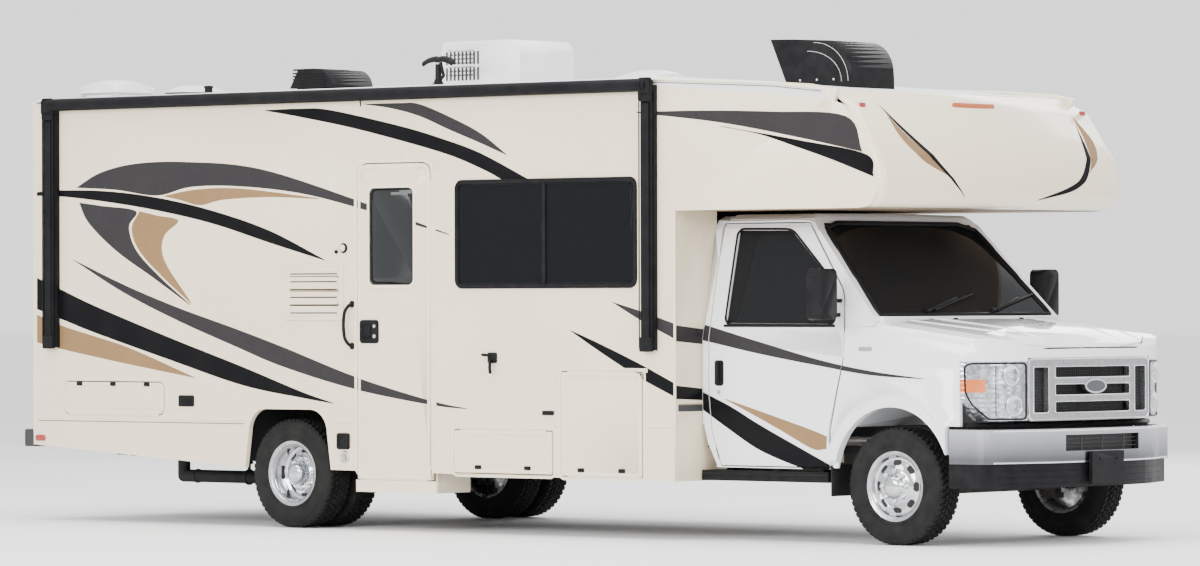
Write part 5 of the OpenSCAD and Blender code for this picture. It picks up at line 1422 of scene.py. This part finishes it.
for side, name in ((-1, "right"), (1, "left")):
    body = f"cab_door_{name}_body"
    door = "cab_door_" + name
    glass_seal = Bench()
    edge = [(x, side * 2, z) for x, z in fine(rounded_line([(x + dx, z + dz) for (x, z), dx,
            dz in zip(glass_outline, (-0.008, 0.008, 0.008, 0.008, 0.004, -0.008),
            (-0.008, -0.008, 0.0, 0.004, 0.009, 0.009))], 0.05))]
    glass_seal.rod(along_skin(door, edge, (0, -side, 0), 0.0005), 0.008, 8, closed=True)
    sill = [(x, side * 2, 1.382) for x in (1.97, 2.2, 2.5, 2.75, 2.88)]
    glass_seal.rod(along_skin(door, sill, (0, -side, 0), 0.002), 0.009, 8)
    post = [(2.70, side * 2, z) for z in (1.405, 1.55, 1.7, 1.76)]
    laid = along_skin("cab_glass_" + name, post, (0, -side, 0), 0.003)
    if len(laid) > 1:
        glass_seal.rod(laid, 0.009, 8)
    glass_seal.done("cab_door_seal_" + name, black_trim, body, "black_plastic")

    handle = Bench()
    face = along_skin(door, [(1.94, side * 2, 1.08)], (0, -side, 0), 0)[0].y
    handle.plate(rounded((1.905, 0.995), (1.978, 1.16), 0.02), "y", *sorted((face + side * 0.001, face
            + side * 0.006)))
    handle.rod([(1.94, face + side * 0.006, 1.015), (1.94, face + side * 0.022, 1.035),
            (1.94, face + side * 0.026, 1.08), (1.94, face + side * 0.022, 1.125),
            (1.94, face + side * 0.006, 1.145)], 0.012, 10, flat=0.7)
    handle.done("cab_door_handle_" + name, black_trim, body, "black_plastic", bevel=0.0015)
    lock = Bench()
    lock.lathe([(0, 0), (0.013, 0), (0.012, 0.005), (0, 0.006)], (1.94, face, 0.955), (0, side, 0), 18)
    lock.done("cab_door_lock_" + name, screw_steel, body, "chrome")
    gap = Bench()
    line = [(x, side * 2, z) for x, z in fine(rounded_line([(x + (0.009 if x > 2.4 else -0.009), z
            + (0.0 if 0.6 < z < 1.9 else math.copysign(0.009, z - 1))) for x, z in door_outline], 0.05))]
    laid = []
    for node in ("cab_body", "front_fenders"):
        tree = surface(nodes[node].data)
        laid.append([tree.ray_cast(Vector(p), Vector((0, -side, 0)))[0] for p in line])
    path = []
    for one, two in zip(*laid):
        met = [p for p in (one, two) if p is not None and abs(p.y) > 0.8]
        if met:
            path.append(max(met, key=lambda p: abs(p.y)) - Vector((0, side * 0.001, 0)))
    if len(path) > 10:
        gap.rod(path, 0.0032, 6, closed=True)
        gap.done("cab_door_gap_" + name, black_trim)

    rail = Bench()
    line = [(x, side * 2, z) for x, z in smooth_line([(1.84, 2.052), (2.2, 2.053), (2.57, 2.05),
            (2.66, 1.985)], 5)]
    laid = along_skin("cab_body", line, (0, -side, 0), 0.002)
    if len(laid) > 2:
        rail.rod(laid, 0.008, 8)
        rail.done("cab_drip_rail_" + name, cab_enamel, "motorhome", "cab_white")


# ---- Windshield fittings ----
# A black rubber seal holds the curved laminated glass. Two wiper arms rest on it from a louvred
# black cowl, with washer nozzles ahead of them.


def on_windshield(y, share, lift=0.004):
    """A point on the windshield, from its foot (0) to its head (1), lifted off the glass."""
    low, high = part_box("windshield")
    z = low.z + (high.z - low.z) * share
    met = along_skin("windshield", [(4.5, y, z)], (-1, 0, 0), lift)
    return met[0] if met else None


shield_seal = Bench()
shield_low, shield_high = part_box("windshield")
glass_rows = {}
for share in [0.012 + 0.976 * i / 16 for i in range(17)]:
    found = [on_windshield(shield_low.y + (shield_high.y - shield_low.y) * i / 200, share, 0.0015)
            for i in range(201)]
    glass_rows[share] = [point for point in found if point is not None]
shares = sorted(glass_rows)
loop = glass_rows[shares[0]][::5] + [glass_rows[share][-1] for share in shares]
loop += glass_rows[shares[-1]][::-5] + [glass_rows[share][0] for share in shares[::-1]]
loop = [point for i, point in enumerate(loop) if (point - loop[i - 1]).length > 0.004]
shield_seal.rod(loop, 0.015, 8, closed=True)
shield_seal.done("windshield_seal", black_trim)

wipers = Bench()
for foot_y, tip_y in ((0.28, 0.78), (-0.42, 0.12)):
    pivot = on_windshield(foot_y, 0.03, 0.02)
    elbow = on_windshield(foot_y + (tip_y - foot_y) * 0.5, 0.12, 0.028)
    blade_middle = on_windshield(tip_y - 0.12, 0.17, 0.02)
    wipers.rod(smooth_line([pivot, elbow, blade_middle], 5), 0.0075, 8)
    wipers.lathe([(0, -0.012), (0.02, -0.012), (0.018, 0.012), (0.008, 0.02), (0, 0.02)], pivot,
            (0.6, 0, 0.8), 16)
    ends = [on_windshield(y, s, 0.01) for y, s in ((tip_y - 0.42, 0.055), (tip_y - 0.28, 0.105),
            (tip_y - 0.12, 0.155), (tip_y + 0.02, 0.2), (tip_y + 0.1, 0.225))]
    wipers.rod(smooth_line([p for p in ends if p is not None], 4), 0.0055, 6, flat=1.6)
wipers.done("windshield_wipers", black_trim)

cowl = Bench()
for start in (-0.82, 0.3):
    cowl_fin = Bench().block((-0.04, -0.0035, -0.001), (0.04, 0.0035, 0.0035))
    cowl.add(row_of(cowl_fin, 26, black_trim, (3.19, start, 1.4417), (0, 0.02, 0)))
cowl.done("cowl_louvres", black_trim)


# ---- Hood ----
# One white pressing with a raised centre and long creases that run forward to the grille
# surround. Two black washer nozzles are clipped into it below the windshield.

hood_lines = Bench()
hood_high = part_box("hood")[1]
for side in (-1, 1):
    for y_rear, y_front in ((0.5, 0.40), (0.74, 0.62)):
        line = [(3.3 + (hood_high.x - 3.36) * i / 20, side * (y_rear + (y_front - y_rear) * i / 20), 3)
                for i in range(21)]
        laid = along_skin("hood", line, (0, 0, -1), -0.002)
        if len(laid) > 4:
            hood_lines.rod(laid, 0.0085, 8, flat=0.75)
hood_lines.done("hood_creases", cab_enamel, "hood_body", "cab_white")

nozzles = Bench()
for y in (-0.35, 0.35):
    met = along_skin("hood", [(3.36, y, 3)], (0, 0, -1), 0.0)[0]
    nozzles.block((met.x - 0.014, y - 0.01, met.z - 0.003), (met.x + 0.012, y + 0.01, met.z + 0.008))
nozzles.done("washer_nozzles", black_trim, "hood_body", "black_plastic", bevel=0.002)


# ---- Fender details ----
# The front wheel openings have a raised lip round the arch, and a dark splash guard closes the
# rear of each. A blank oval is fixed where a badge plate would be.

arch_height = 0.415
for side, name in ((-1, "right"), (1, "left")):
    lips = Bench()
    for radius, thick in ((0.462, 0.007), (0.53, 0.005)):
        line = []
        for i in range(33):
            angle = math.radians(-12 + 204 * i / 32)
            x = front_axle_x + radius * math.cos(angle)
            line.append((x, side * 2, arch_height + radius * math.sin(angle)))
        laid = [p for p in along_skin("front_fenders", line, (0, -side, 0), 0.0) if abs(p.y) > 0.93]
        if len(laid) > 4:
            lips.rod(laid, thick, 8)
    lips.done("fender_lips_" + name, cab_enamel, "motorhome", "cab_white")
    badge = Bench()
    met = along_skin("front_fenders", [(3.14, side * 2, 1.235)], (0, -side, 0), 0.0)
    if met:
        face = met[0].y
        badge.plate(rounded((3.085, 1.222), (3.195, 1.25), 0.0135), "y",
                *sorted((face - side * 0.002, face + side * 0.0035)))
        badge.done("fender_blank_badge_" + name, simulator_steel, "motorhome", "chrome", bevel=0.001)
    flap = Bench()
    flap.plate([(side * 0.79, 0.3), (side * 1.0, 0.3), (side * 1.0, 0.5), (side * 0.79, 0.5)], "x", 2.856,
            2.864)
    flap.done("splash_guard_" + name, tank_plastic, bevel=0.002)


# ---- Grille ----
# A chromed moulding with three wide slots and a tall slot at each end, over a black mesh. A plain
# oval badge sits on the middle bar, and a rubber strip closes the gap above it.

bright_chrome = Finish("bright_chrome", (0.72, 0.73, 0.75), 0.12, Metallic=1.0)
bright_chrome.varied((0.76, 0.77, 0.79), (0.64, 0.65, 0.67), 9.0, 0.08, 0.14)
satin_silver = Finish("satin_silver", (0.36, 0.36, 0.365), 0.3, Metallic=0.85)
satin_silver.varied((0.4, 0.4, 0.405), (0.3, 0.3, 0.305), 30.0, 0.22, 0.14)
satin_silver.relief(satin_silver.grain(500, 3, (1, 12, 1)), 0.1)
skin("grille", satin_silver)


def grille_face(y):
    """The grille's front at a place across: a shallow bow."""
    return 4.195 - 0.043 * y * y / 0.4225


mesh_back = Bench()
wire_low, wire_high = 0.80, 1.165
# The dark plate behind the wires is painted shade behind the mesh; the wires are the mesh's own black.
mesh_back.plate(rounded((-0.62, wire_low), (0.62, wire_high), 0.02), "x", 4.112, 4.118)
upright = Bench().rod([(0, 0, wire_low), (0, 0, wire_high)], 0.0022, 6)
mesh_back.add(row_of(upright, 60, dark_vent, (4.122, -0.6, 0), (0, 0.0203, 0)))
across = Bench().rod([(0, -0.61, 0), (0, 0.61, 0)], 0.0022, 6)
mesh_back.add(row_of(across, 18, dark_vent, (4.1245, 0, wire_low + 0.01), (0, 0, 0.0205)))
mesh_back.done("grille_mesh", dark_vent)

slot_rims = Bench()
for low, high in ((0.835, 0.905), (0.945, 1.015), (1.055, 1.125)):
    outline = rounded_line([(-0.4, low), (0.4, low), (0.4, high), (-0.4, high)], 0.012)
    line = [(grille_face(y) + 0.0005, y, z) for y, z in fine(outline, 0.06)]
    slot_rims.rod(line, 0.0045, 8, closed=True)
for side in (-1, 1):
    outline = rounded_line([(side * 0.46, 0.835), (side * 0.60, 0.835), (side * 0.60, 1.125),
            (side * 0.46, 1.125)], 0.012)
    slot_rims.rod([(grille_face(y) + 0.0005, y, z) for y, z in fine(outline, 0.06)], 0.0045, 8, closed=True)
outline = rounded_line([(-0.642, 0.793), (0.642, 0.793), (0.642, 1.174), (-0.642, 1.174)], 0.04)
slot_rims.rod([(grille_face(y) - 0.0005, y, z) for y, z in fine(outline, 0.06)], 0.007, 8, closed=True)
badge_outer = [(0.115 * math.cos(a), 1.0 + 0.047 * math.sin(a)) for a in [math.tau * i / 36
        for i in range(36)]]
badge_inner = [(0.1 * math.cos(a), 1.0 + 0.036 * math.sin(a)) for a in [math.tau * i / 36
        for i in range(36)]]
slot_rims.band(badge_outer, badge_inner, "x", 4.17, 4.2065)
slot_rims.done("grille_rims", bright_chrome, "motorhome", "chrome")
badge_blue = Finish("badge_enamel", (0.03, 0.035, 0.045), 0.2, Coat_Weight=0.7)
badge_blue.varied((0.03, 0.036, 0.048), (0.02, 0.024, 0.03), 40.0, 0.15, 0.12)
badge_plain = Bench().plate(badge_inner, "x", 4.17, 4.2045)
badge_plain.done("grille_blank_badge", badge_blue, bevel=0.001)

lip_seal = Bench()
lip_seal.rod(smooth_line([(3.98, -0.69, 1.222), (4.12, -0.62, 1.236), (4.17, -0.45, 1.24), (4.19, 0, 1.241),
        (4.17, 0.45, 1.24), (4.12, 0.62, 1.236), (3.98, 0.69, 1.222)], 6), 0.0065, 8)
lip_seal.done("hood_lip_seal", black_trim)


# ---- Headlamps ----
# One clear moulded lens on each side over a stepped reflector, with a high and a low bowl, an
# amber corner, and a black gasket where the lamp meets the sheet metal.

reflector = Finish("lamp_reflector", (0.55, 0.57, 0.59), 0.12, Coat_Weight=1.0, Coat_Roughness=0.02)
cells = reflector.node("ShaderNodeTexVoronoi", {"feature": "F1", "distance": "CHEBYCHEV"},
        {"Vector": reflector.place((18, 18, 34)), "Scale": 1.0, "Randomness": 0.35})
height = reflector.along("Z")
front = reflector.along("X")
amber_band = reflector.node("ShaderNodeMath", {"operation": "MULTIPLY"},
        {0: height > 0.967, 1: height < 1.048})
amber_band = amber_band * (front < 4.02)
# Painted reflection: the cells are painted bright silver and near-black, standing for facets that catch light
# and facets in shade.
shades = reflector.blend(reflector.between(cells, 0.1, 0.8), (0.62, 0.64, 0.66), (0.04, 0.045, 0.05))
reflector.set(**{"Base Color": reflector.blend(amber_band, shades, (0.62, 0.13, 0.012))})
reflector.set(Metallic=0.9 - amber_band * 0.8)
reflector.set(Roughness=reflector.between(cells, 0.0, 0.9, 0.06, 0.3))
reflector.relief(cells, 0.6, 0.01)
skin("headlamps", reflector)

for side, name in ((-1, "right"), (1, "left")):
    bowls = Bench()
    for y, z, radius in ((0.77, 1.075, 0.062), (0.75, 0.885, 0.062)):
        met = along_skin("headlamps", [(4.6, side * y, z)], (-1, 0, 0), 0.0)[0]
        bowls.lathe([(radius, 0.0), (radius + 0.004, 0.004), (radius - 0.002, 0.006),
                (radius * 0.8, 0.0025), (radius * 0.45, 0.001), (0.016, 0.001), (0.015, 0.006), (0, 0.008),
                (0, -0.002), (radius, -0.002)], (met.x - 0.001, side * y, z), (1, side * 0.25, 0), 30)
    bowls.done("headlamp_bowls_" + name, bright_chrome, "motorhome", "chrome")
    gasket = Bench()
    outline = rounded_line([(side * 0.662, 0.8), (side * 0.93, 0.8), (side * 0.988, 0.95),
            (side * 0.99, 1.148), (side * 0.662, 1.15)], 0.03)
    laid = along_skin("headlamps", [(4.6, y, z) for y, z in fine(outline, 0.03)], (-1, 0, 0), 0.002)
    if len(laid) > 8:
        gasket.rod(laid, 0.0055, 8, closed=True)
    divider = along_skin("headlamps", [(4.6, side * 0.86, 0.82 + 0.31 * i / 12) for i in range(13)],
            (-1, 0, 0), 0.001)
    if len(divider) > 4:
        gasket.rod(divider, 0.003, 6)
    gasket.done("headlamp_gasket_" + name, black_trim)


# ---- Bumper and valance ----
# A chromed steel bumper with a bright rolled top edge and a wide opening, above a black moulded
# valance. The blank plate bracket hangs in the middle on two screws.

bumper_chrome = Finish("bumper_chrome", (0.4, 0.405, 0.42), 0.2, Metallic=1.0)
bumper_chrome.varied((0.45, 0.455, 0.47), (0.38, 0.385, 0.4), 3.0, 0.14, 0.14)
# Painted light: the chrome's colour goes from dark low down to bright towards the top edge, a painted
# reflection of sky above and shade below.
painted_reflection_rise = bumper_chrome.between(bumper_chrome.along("Z"), 0.55, 0.72)
bumper_chrome.set(**{"Base Color": bumper_chrome.blend(painted_reflection_rise, (0.13, 0.132, 0.14), (0.5, 0.505, 0.52))})
skin("front_bumper", bumper_chrome)
skin("front_valance", black_trim)

bumper_trims = Bench()
for z, radius, inset in ((0.728, 0.009, 0.004), (0.528, 0.0065, 0.002)):
    line = [(6, -0.93 + 1.86 * i / 40, z) for i in range(41)]
    laid = along_skin("front_bumper", line, (-1, 0, 0), -inset)
    bumper_trims.rod([p for p in laid if p.x > 3.9], radius, 8)
bumper_trims.done("bumper_rolled_edges", bright_chrome, "motorhome", "chrome")

intake = Bench()
for y in (-0.2, 0.02, 0.25):
    intake.rod([(4.235, y, 0.6), (4.235, y, 0.694)], 0.006, 6)
for z in (0.62, 0.645, 0.67):
    intake.rod([(4.232, -0.385, z), (4.232, 0.385, z)], 0.003, 6)
# The dark plate behind the bars is painted shade in the bumper's opening.
intake.plate(rounded((-0.395, 0.59), (0.395, 0.703), 0.01), "x", 4.196, 4.2)
intake.done("bumper_intake_bars", dark_vent)

strip = Bench()
strip_points = []
for i in range(41):
    y = -0.97 + 1.94 * i / 40
    strip_points.append((min(4.09, 4.1 - 0.19 * max(0.0, abs(y) - 0.6) / 0.37), y, 0.758))
strip.rod(strip_points, 0.019, 8, flat=1.2)
strip.done("bumper_filler_strip", black_trim)

plate_screws = Bench()
for y in (-0.089, 0.089):
    plate_screws.lathe([(0.0042, 0.0), (0.0095, 0.0), (0.0095, 0.001), (0.0075, 0.0035), (0.0042, 0.0035)],
            (4.2965, y, 0.54), (1, 0, 0), 18, closed=True)
plate_screws.done("plate_bracket_collars", screw_steel, "motorhome", "chrome")
bracket = Bench()
for z in (0.41, 0.575):
    bracket.rod([(4.2985, -0.16, z), (4.2985, 0.16, z)], 0.0015, 6)
for y in (-0.161, 0.161):
    bracket.rod([(4.2985, y, 0.4), (4.2985, y, 0.58)], 0.0015, 6)
bracket.done("plate_bracket_ribs", black_trim)

valance_ribs = Bench()
for z in (0.395, 0.435, 0.475):
    line = [(6, -0.86 + 1.72 * i / 30, z) for i in range(31)]
    laid = [p for p in along_skin("front_valance", line, (-1, 0, 0), -0.001) if abs(p.y) > 0.19]
    for half in ([p for p in laid if p.y < 0], [p for p in laid if p.y > 0]):
        if len(half) > 3:
            valance_ribs.rod(half, 0.004, 6)
valance_ribs.done("valance_ribs", black_trim)


# ---- Running boards ----
# Folded black steel boards with a ribbed rubber tread along the top and end caps.

skin("running_boards", black_trim)
board_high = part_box("running_boards")[1]
for side, name in ((-1, "right"), (1, "left")):
    tread = Bench()
    rib = Bench().rod([(1.83, 0, 0), (2.81, 0, 0)], 0.004, 6)
    tread.add(row_of(rib, 8, black_trim, (0, side * 0.86, board_high.z), (0, side * 0.018, 0)))
    tread.rod([(1.815, side * (board_high.y + 0.0005), 0.43), (2.825, side * (board_high.y + 0.0005),
            0.43)], 0.006, 8)
    tread.done("running_board_tread_" + name, tyre_rubber, "motorhome", "frame_black")


# ---- Mirrors ----
# Tall black moulded heads on two folding arms. Each holds a flat glass over a small round-view
# glass, both facing back along the body.

mirror_silver = Finish("mirror_silver", (0.8, 0.82, 0.84), 0.03, Metallic=1.0)
mirror_silver.set(Roughness=mirror_silver.between(mirror_silver.grain(3.0), 0.3, 0.7, 0.01, 0.05))
for side, name in ((-1, "right"), (1, "left")):
    body = f"cab_door_{name}_body"
    skin("mirror_" + name, black_trim)
    y_low, y_high = sorted((side * 1.118, side * 1.25))
    back = along_skin("mirror_" + name, [(2.0, side * 1.18, 1.62)], (1, 0, 0), 0.0)[0].x
    glass = Bench()
    glass.plate(rounded((y_low, 1.53), (y_high, 1.733), 0.02), "x", back - 0.0025, back + 0.001)
    glass.plate(rounded((y_low, 1.432), (y_high, 1.518), 0.018), "x", back - 0.0025, back + 0.001)
    glass.done("mirror_glass_" + name, mirror_silver, body, "chrome", bevel=0.0006)
    rims = Bench()
    rims.rod([(back - 0.001, y, z) for y, z in rounded((y_low - 0.003, 1.527), (y_high + 0.003, 1.736),
            0.022)], 0.0025, 6, closed=True)
    rims.rod([(back - 0.001, y, z) for y, z in rounded((y_low - 0.003, 1.429), (y_high + 0.003, 1.521),
            0.02)], 0.0025, 6, closed=True)
    for z in (1.44, 1.53):
        rims.lathe([(0.006, -0.012), (0.02, -0.012), (0.02, 0.012), (0.006, 0.012)], (2.9, side * 1.07, z),
                (0, 0, 1), 16, closed=True)
    rims.done("mirror_rims_" + name, black_trim, body, "black_plastic")


# ---- Dashboard and steering wheel ----
# A grained plastic dashboard with an instrument hood, round air vents and a glove box lid. The
# wheel has a padded leather rim on four spokes, turned by the wheel's own body.

dash_grain = Finish("dash_grain", (0.05, 0.05, 0.055), 0.6)
dash_grain.varied((0.045, 0.045, 0.05), (0.075, 0.073, 0.075), 18.0, 0.52, 0.2)
dash_grain.relief(dash_grain.node("ShaderNodeTexVoronoi", {}, {"Vector": dash_grain.place(),
        "Scale": 260.0}), 0.3)
skin("dashboard", dash_grain)
dash_parts = Bench()
hood_line = [(2.83, 0.4 + 0.19 * math.cos(a), 1.29 + 0.1 * math.sin(a))
        for a in [math.pi * i / 16 for i in range(17)]]
dash_parts.rod(hood_line, 0.014, 8)
for y in (-0.72, -0.12, 0.12, 0.72):
    met = along_skin("dashboard", [(2.0, y, 1.27)], (1, 0, 0), 0.0)
    if met:
        dash_parts.lathe([(0.028, 0), (0.042, 0), (0.042, 0.006), (0.036, 0.01), (0.028, 0.006)], met[0],
                (-1, 0, 0), 20, closed=True)
for z in (1.12, 1.15, 1.18):
    met = along_skin("dashboard", [(2.0, 0, z)], (1, 0, 0), 0.0)
    if met:
        dash_parts.rod([(met[0].x, -0.1, z), (met[0].x, 0.1, z)], 0.005, 6)
met = along_skin("dashboard", [(2.0, -0.45, 1.15)], (1, 0, 0), 0.0)[0]
dash_parts.band(rounded((-0.62, 1.06), (-0.28, 1.2), 0.02), rounded((-0.61, 1.07), (-0.29, 1.19), 0.016),
        "x", met.x - 0.006, met.x + 0.004)
dash_parts.done("dashboard_fittings", dash_grain, "motorhome", "dash_grey")

wheel_leather = Finish("wheel_leather", (0.03, 0.03, 0.032), 0.5)
wheel_leather.varied((0.026, 0.026, 0.028), (0.045, 0.044, 0.045), 30.0, 0.42, 0.2)
wheel_leather.relief(wheel_leather.node("ShaderNodeTexVoronoi", {},
        {"Vector": wheel_leather.place(), "Scale": 420.0}), 0.35)
skin("steering_wheel", wheel_leather, 40)
wheel_centre = Vector((2.64, 0.4, 1.34))
wheel_axis = Vector((math.cos(math.radians(30)), 0, -math.sin(math.radians(30))))
wheel_up = Vector((math.sin(math.radians(30)), 0, math.cos(math.radians(30))))
pad = Bench()
pad.lathe([(0, -0.034), (0.05, -0.033), (0.068, -0.026), (0.074, -0.01), (0.07, 0.0), (0, 0.0)],
        wheel_centre, wheel_axis, 32)
for angle in (-25, 205, -60, 240):
    way = wheel_up * math.sin(math.radians(angle)) + Vector((0, 1, 0)) * math.cos(math.radians(angle))
    pad.rod([wheel_centre - wheel_axis * 0.012 + way * 0.05, wheel_centre + way * 0.1, wheel_centre + way
            * 0.178], 0.014, 8, flat=0.5)
pad.done("steering_wheel_pad", wheel_leather, "steering_wheel_body", "black_plastic")


# ---- Seats ----
# Two bucket seats in woven tan cloth over foam. Each pad is stuffed by a cloth simulation from a
# slightly smaller shape, then gets welted seams round its face and two sewn channels across it.

seat_cloth = Finish("seat_cloth", (0.24, 0.2, 0.155), 0.9, Sheen_Weight=0.25)
seat_cloth.varied((0.26, 0.215, 0.165), (0.19, 0.16, 0.125), 22.0, 0.82, 0.12)
weave = seat_cloth.node("ShaderNodeTexBrick", {"offset": 0.5}, {"Vector": seat_cloth.place(),
        "Scale": 130.0}, 1)
seat_cloth.relief(weave, 0.35)
welt_cloth = Finish("welt_cloth", (0.1, 0.085, 0.07), 0.85)
welt_cloth.varied((0.105, 0.09, 0.075), (0.08, 0.068, 0.055), 60.0, 0.78, 0.14)
welt_cloth.relief(welt_cloth.grain(700), 0.3)

pad_shrink = 0.008
pad_swell = 0.012
pad_boxes = []
for side in (-1, 1):
    y_low, y_high = sorted((side * 0.2, side * 0.7))
    pad_boxes.append(((2.12, y_low, 1.0), (2.62, y_high, 1.13)))
    pad_boxes.append(((1.944, y_low, 1.0), (2.1195, y_high, 1.76)))

blanks = Bench()
for low, high in pad_boxes:
    low = Vector(low) + Vector((pad_shrink,) * 3)
    high = Vector(high) - Vector((pad_shrink,) * 3)
    stack = []
    for share, lift in ((0.0, 0.9), (0.06, 1.0), (0.94, 1.0), (1.0, 0.9)):
        pull = 0.02 * (1 - lift) * 10
        outline = rounded((low.x + pull, low.y + pull), (high.x - pull, high.y - pull), 0.05, 5)
        stack.append([(x, y, low.z + (high.z - low.z) * share) for x, y in outline])
    blanks.loops(stack)
blank = bpy.data.objects.new("seat_blank", blanks.mesh("seat_blank"))
bpy.context.scene.collection.objects.link(blank)
voxels = blank.modifiers.new("voxels", "REMESH")
voxels.mode = "VOXEL"
voxels.voxel_size = 0.013
bpy.context.view_layer.update()
pad_mesh = bpy.data.meshes.new_from_object(blank.evaluated_get(bpy.context.evaluated_depsgraph_get()))
bpy.data.objects.remove(blank)
seats = bpy.data.objects.new("seat_pads_stuffed", pad_mesh)
bpy.context.scene.collection.objects.link(seats)
cloth = seats.modifiers.new("cloth", "CLOTH")
cloth.settings.quality = 5
cloth.settings.mass = 0.3
cloth.settings.tension_stiffness = 15
cloth.settings.use_pressure = True
cloth.settings.uniform_pressure_force = 4
cloth.settings.effector_weights.gravity = 0
for step in range(1, 21):
    bpy.context.scene.frame_set(step)
blown = seats.evaluated_get(bpy.context.evaluated_depsgraph_get()).to_mesh()
for vertex, grown in zip(pad_mesh.vertices, [v.co.copy() for v in blown.vertices]):
    moved = grown - vertex.co
    if moved.length > pad_swell:
        moved = moved.normalized() * pad_swell
    vertex.co = vertex.co + moved
seats.modifiers.remove(cloth)
bpy.context.scene.frame_set(1)
for vertex in pad_mesh.vertices:
    low, high = min(pad_boxes, key=lambda box: (vertex.co - (Vector(box[0]) + Vector(box[1])) / 2).length
            if box[0][0] - 0.03 < vertex.co.x < box[1][0] + 0.03 else 9)
    vertex.co = Vector([min(max(vertex.co[i], low[i] + 0.0005), high[i] - 0.0005) for i in range(3)])
pad_mesh.shade_smooth()
pad_mesh.materials.clear()
pad_mesh.materials.append(seat_cloth.material)
finer = seats.modifiers.new("finer", "SUBSURF")
finer.levels = 1
finer.render_levels = 1
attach(seats, "motorhome")
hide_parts("seat_pads")

pad_tree = surface(pad_mesh)


def on_pad(points, way):
    laid = []
    for point in points:
        met, normal = pad_tree.ray_cast(Vector(point), Vector(way))[:2]
        if met is not None:
            laid.append(met - normal * 0.001)
    return laid


welts = Bench()
for side in (-1, 1):
    y_low, y_high = sorted((side * 0.235, side * 0.665))
    outline = fine(rounded((2.155, y_low), (2.585, y_high), 0.05), 0.02)
    welts.rod(on_pad([(x, y, 1.3) for x, y in outline], (0, 0, -1)), 0.0035, 6, closed=True)
    outline = fine(rounded((y_low, 1.06), (y_high, 1.715), 0.05), 0.02)
    welts.rod(on_pad([(2.3, y, z) for y, z in outline if z > 1.14], (-1, 0, 0)), 0.0035, 6)
    for x in (2.3, 2.44):
        welts.rod(on_pad([(x, y_low + (y_high - y_low) * i / 20, 1.3) for i in range(21)], (0, 0, -1)),
                0.0025, 6)
    for z in (1.3, 1.46):
        welts.rod(on_pad([(2.3, y_low + (y_high - y_low) * i / 20, z) for i in range(21)], (-1, 0, 0)),
                0.0025, 6)
welts.done("seat_welts", welt_cloth, "motorhome", "seat_fabric")


# ---- Sizes ----
# The box of the finished vehicle, floor left out.

low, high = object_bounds()
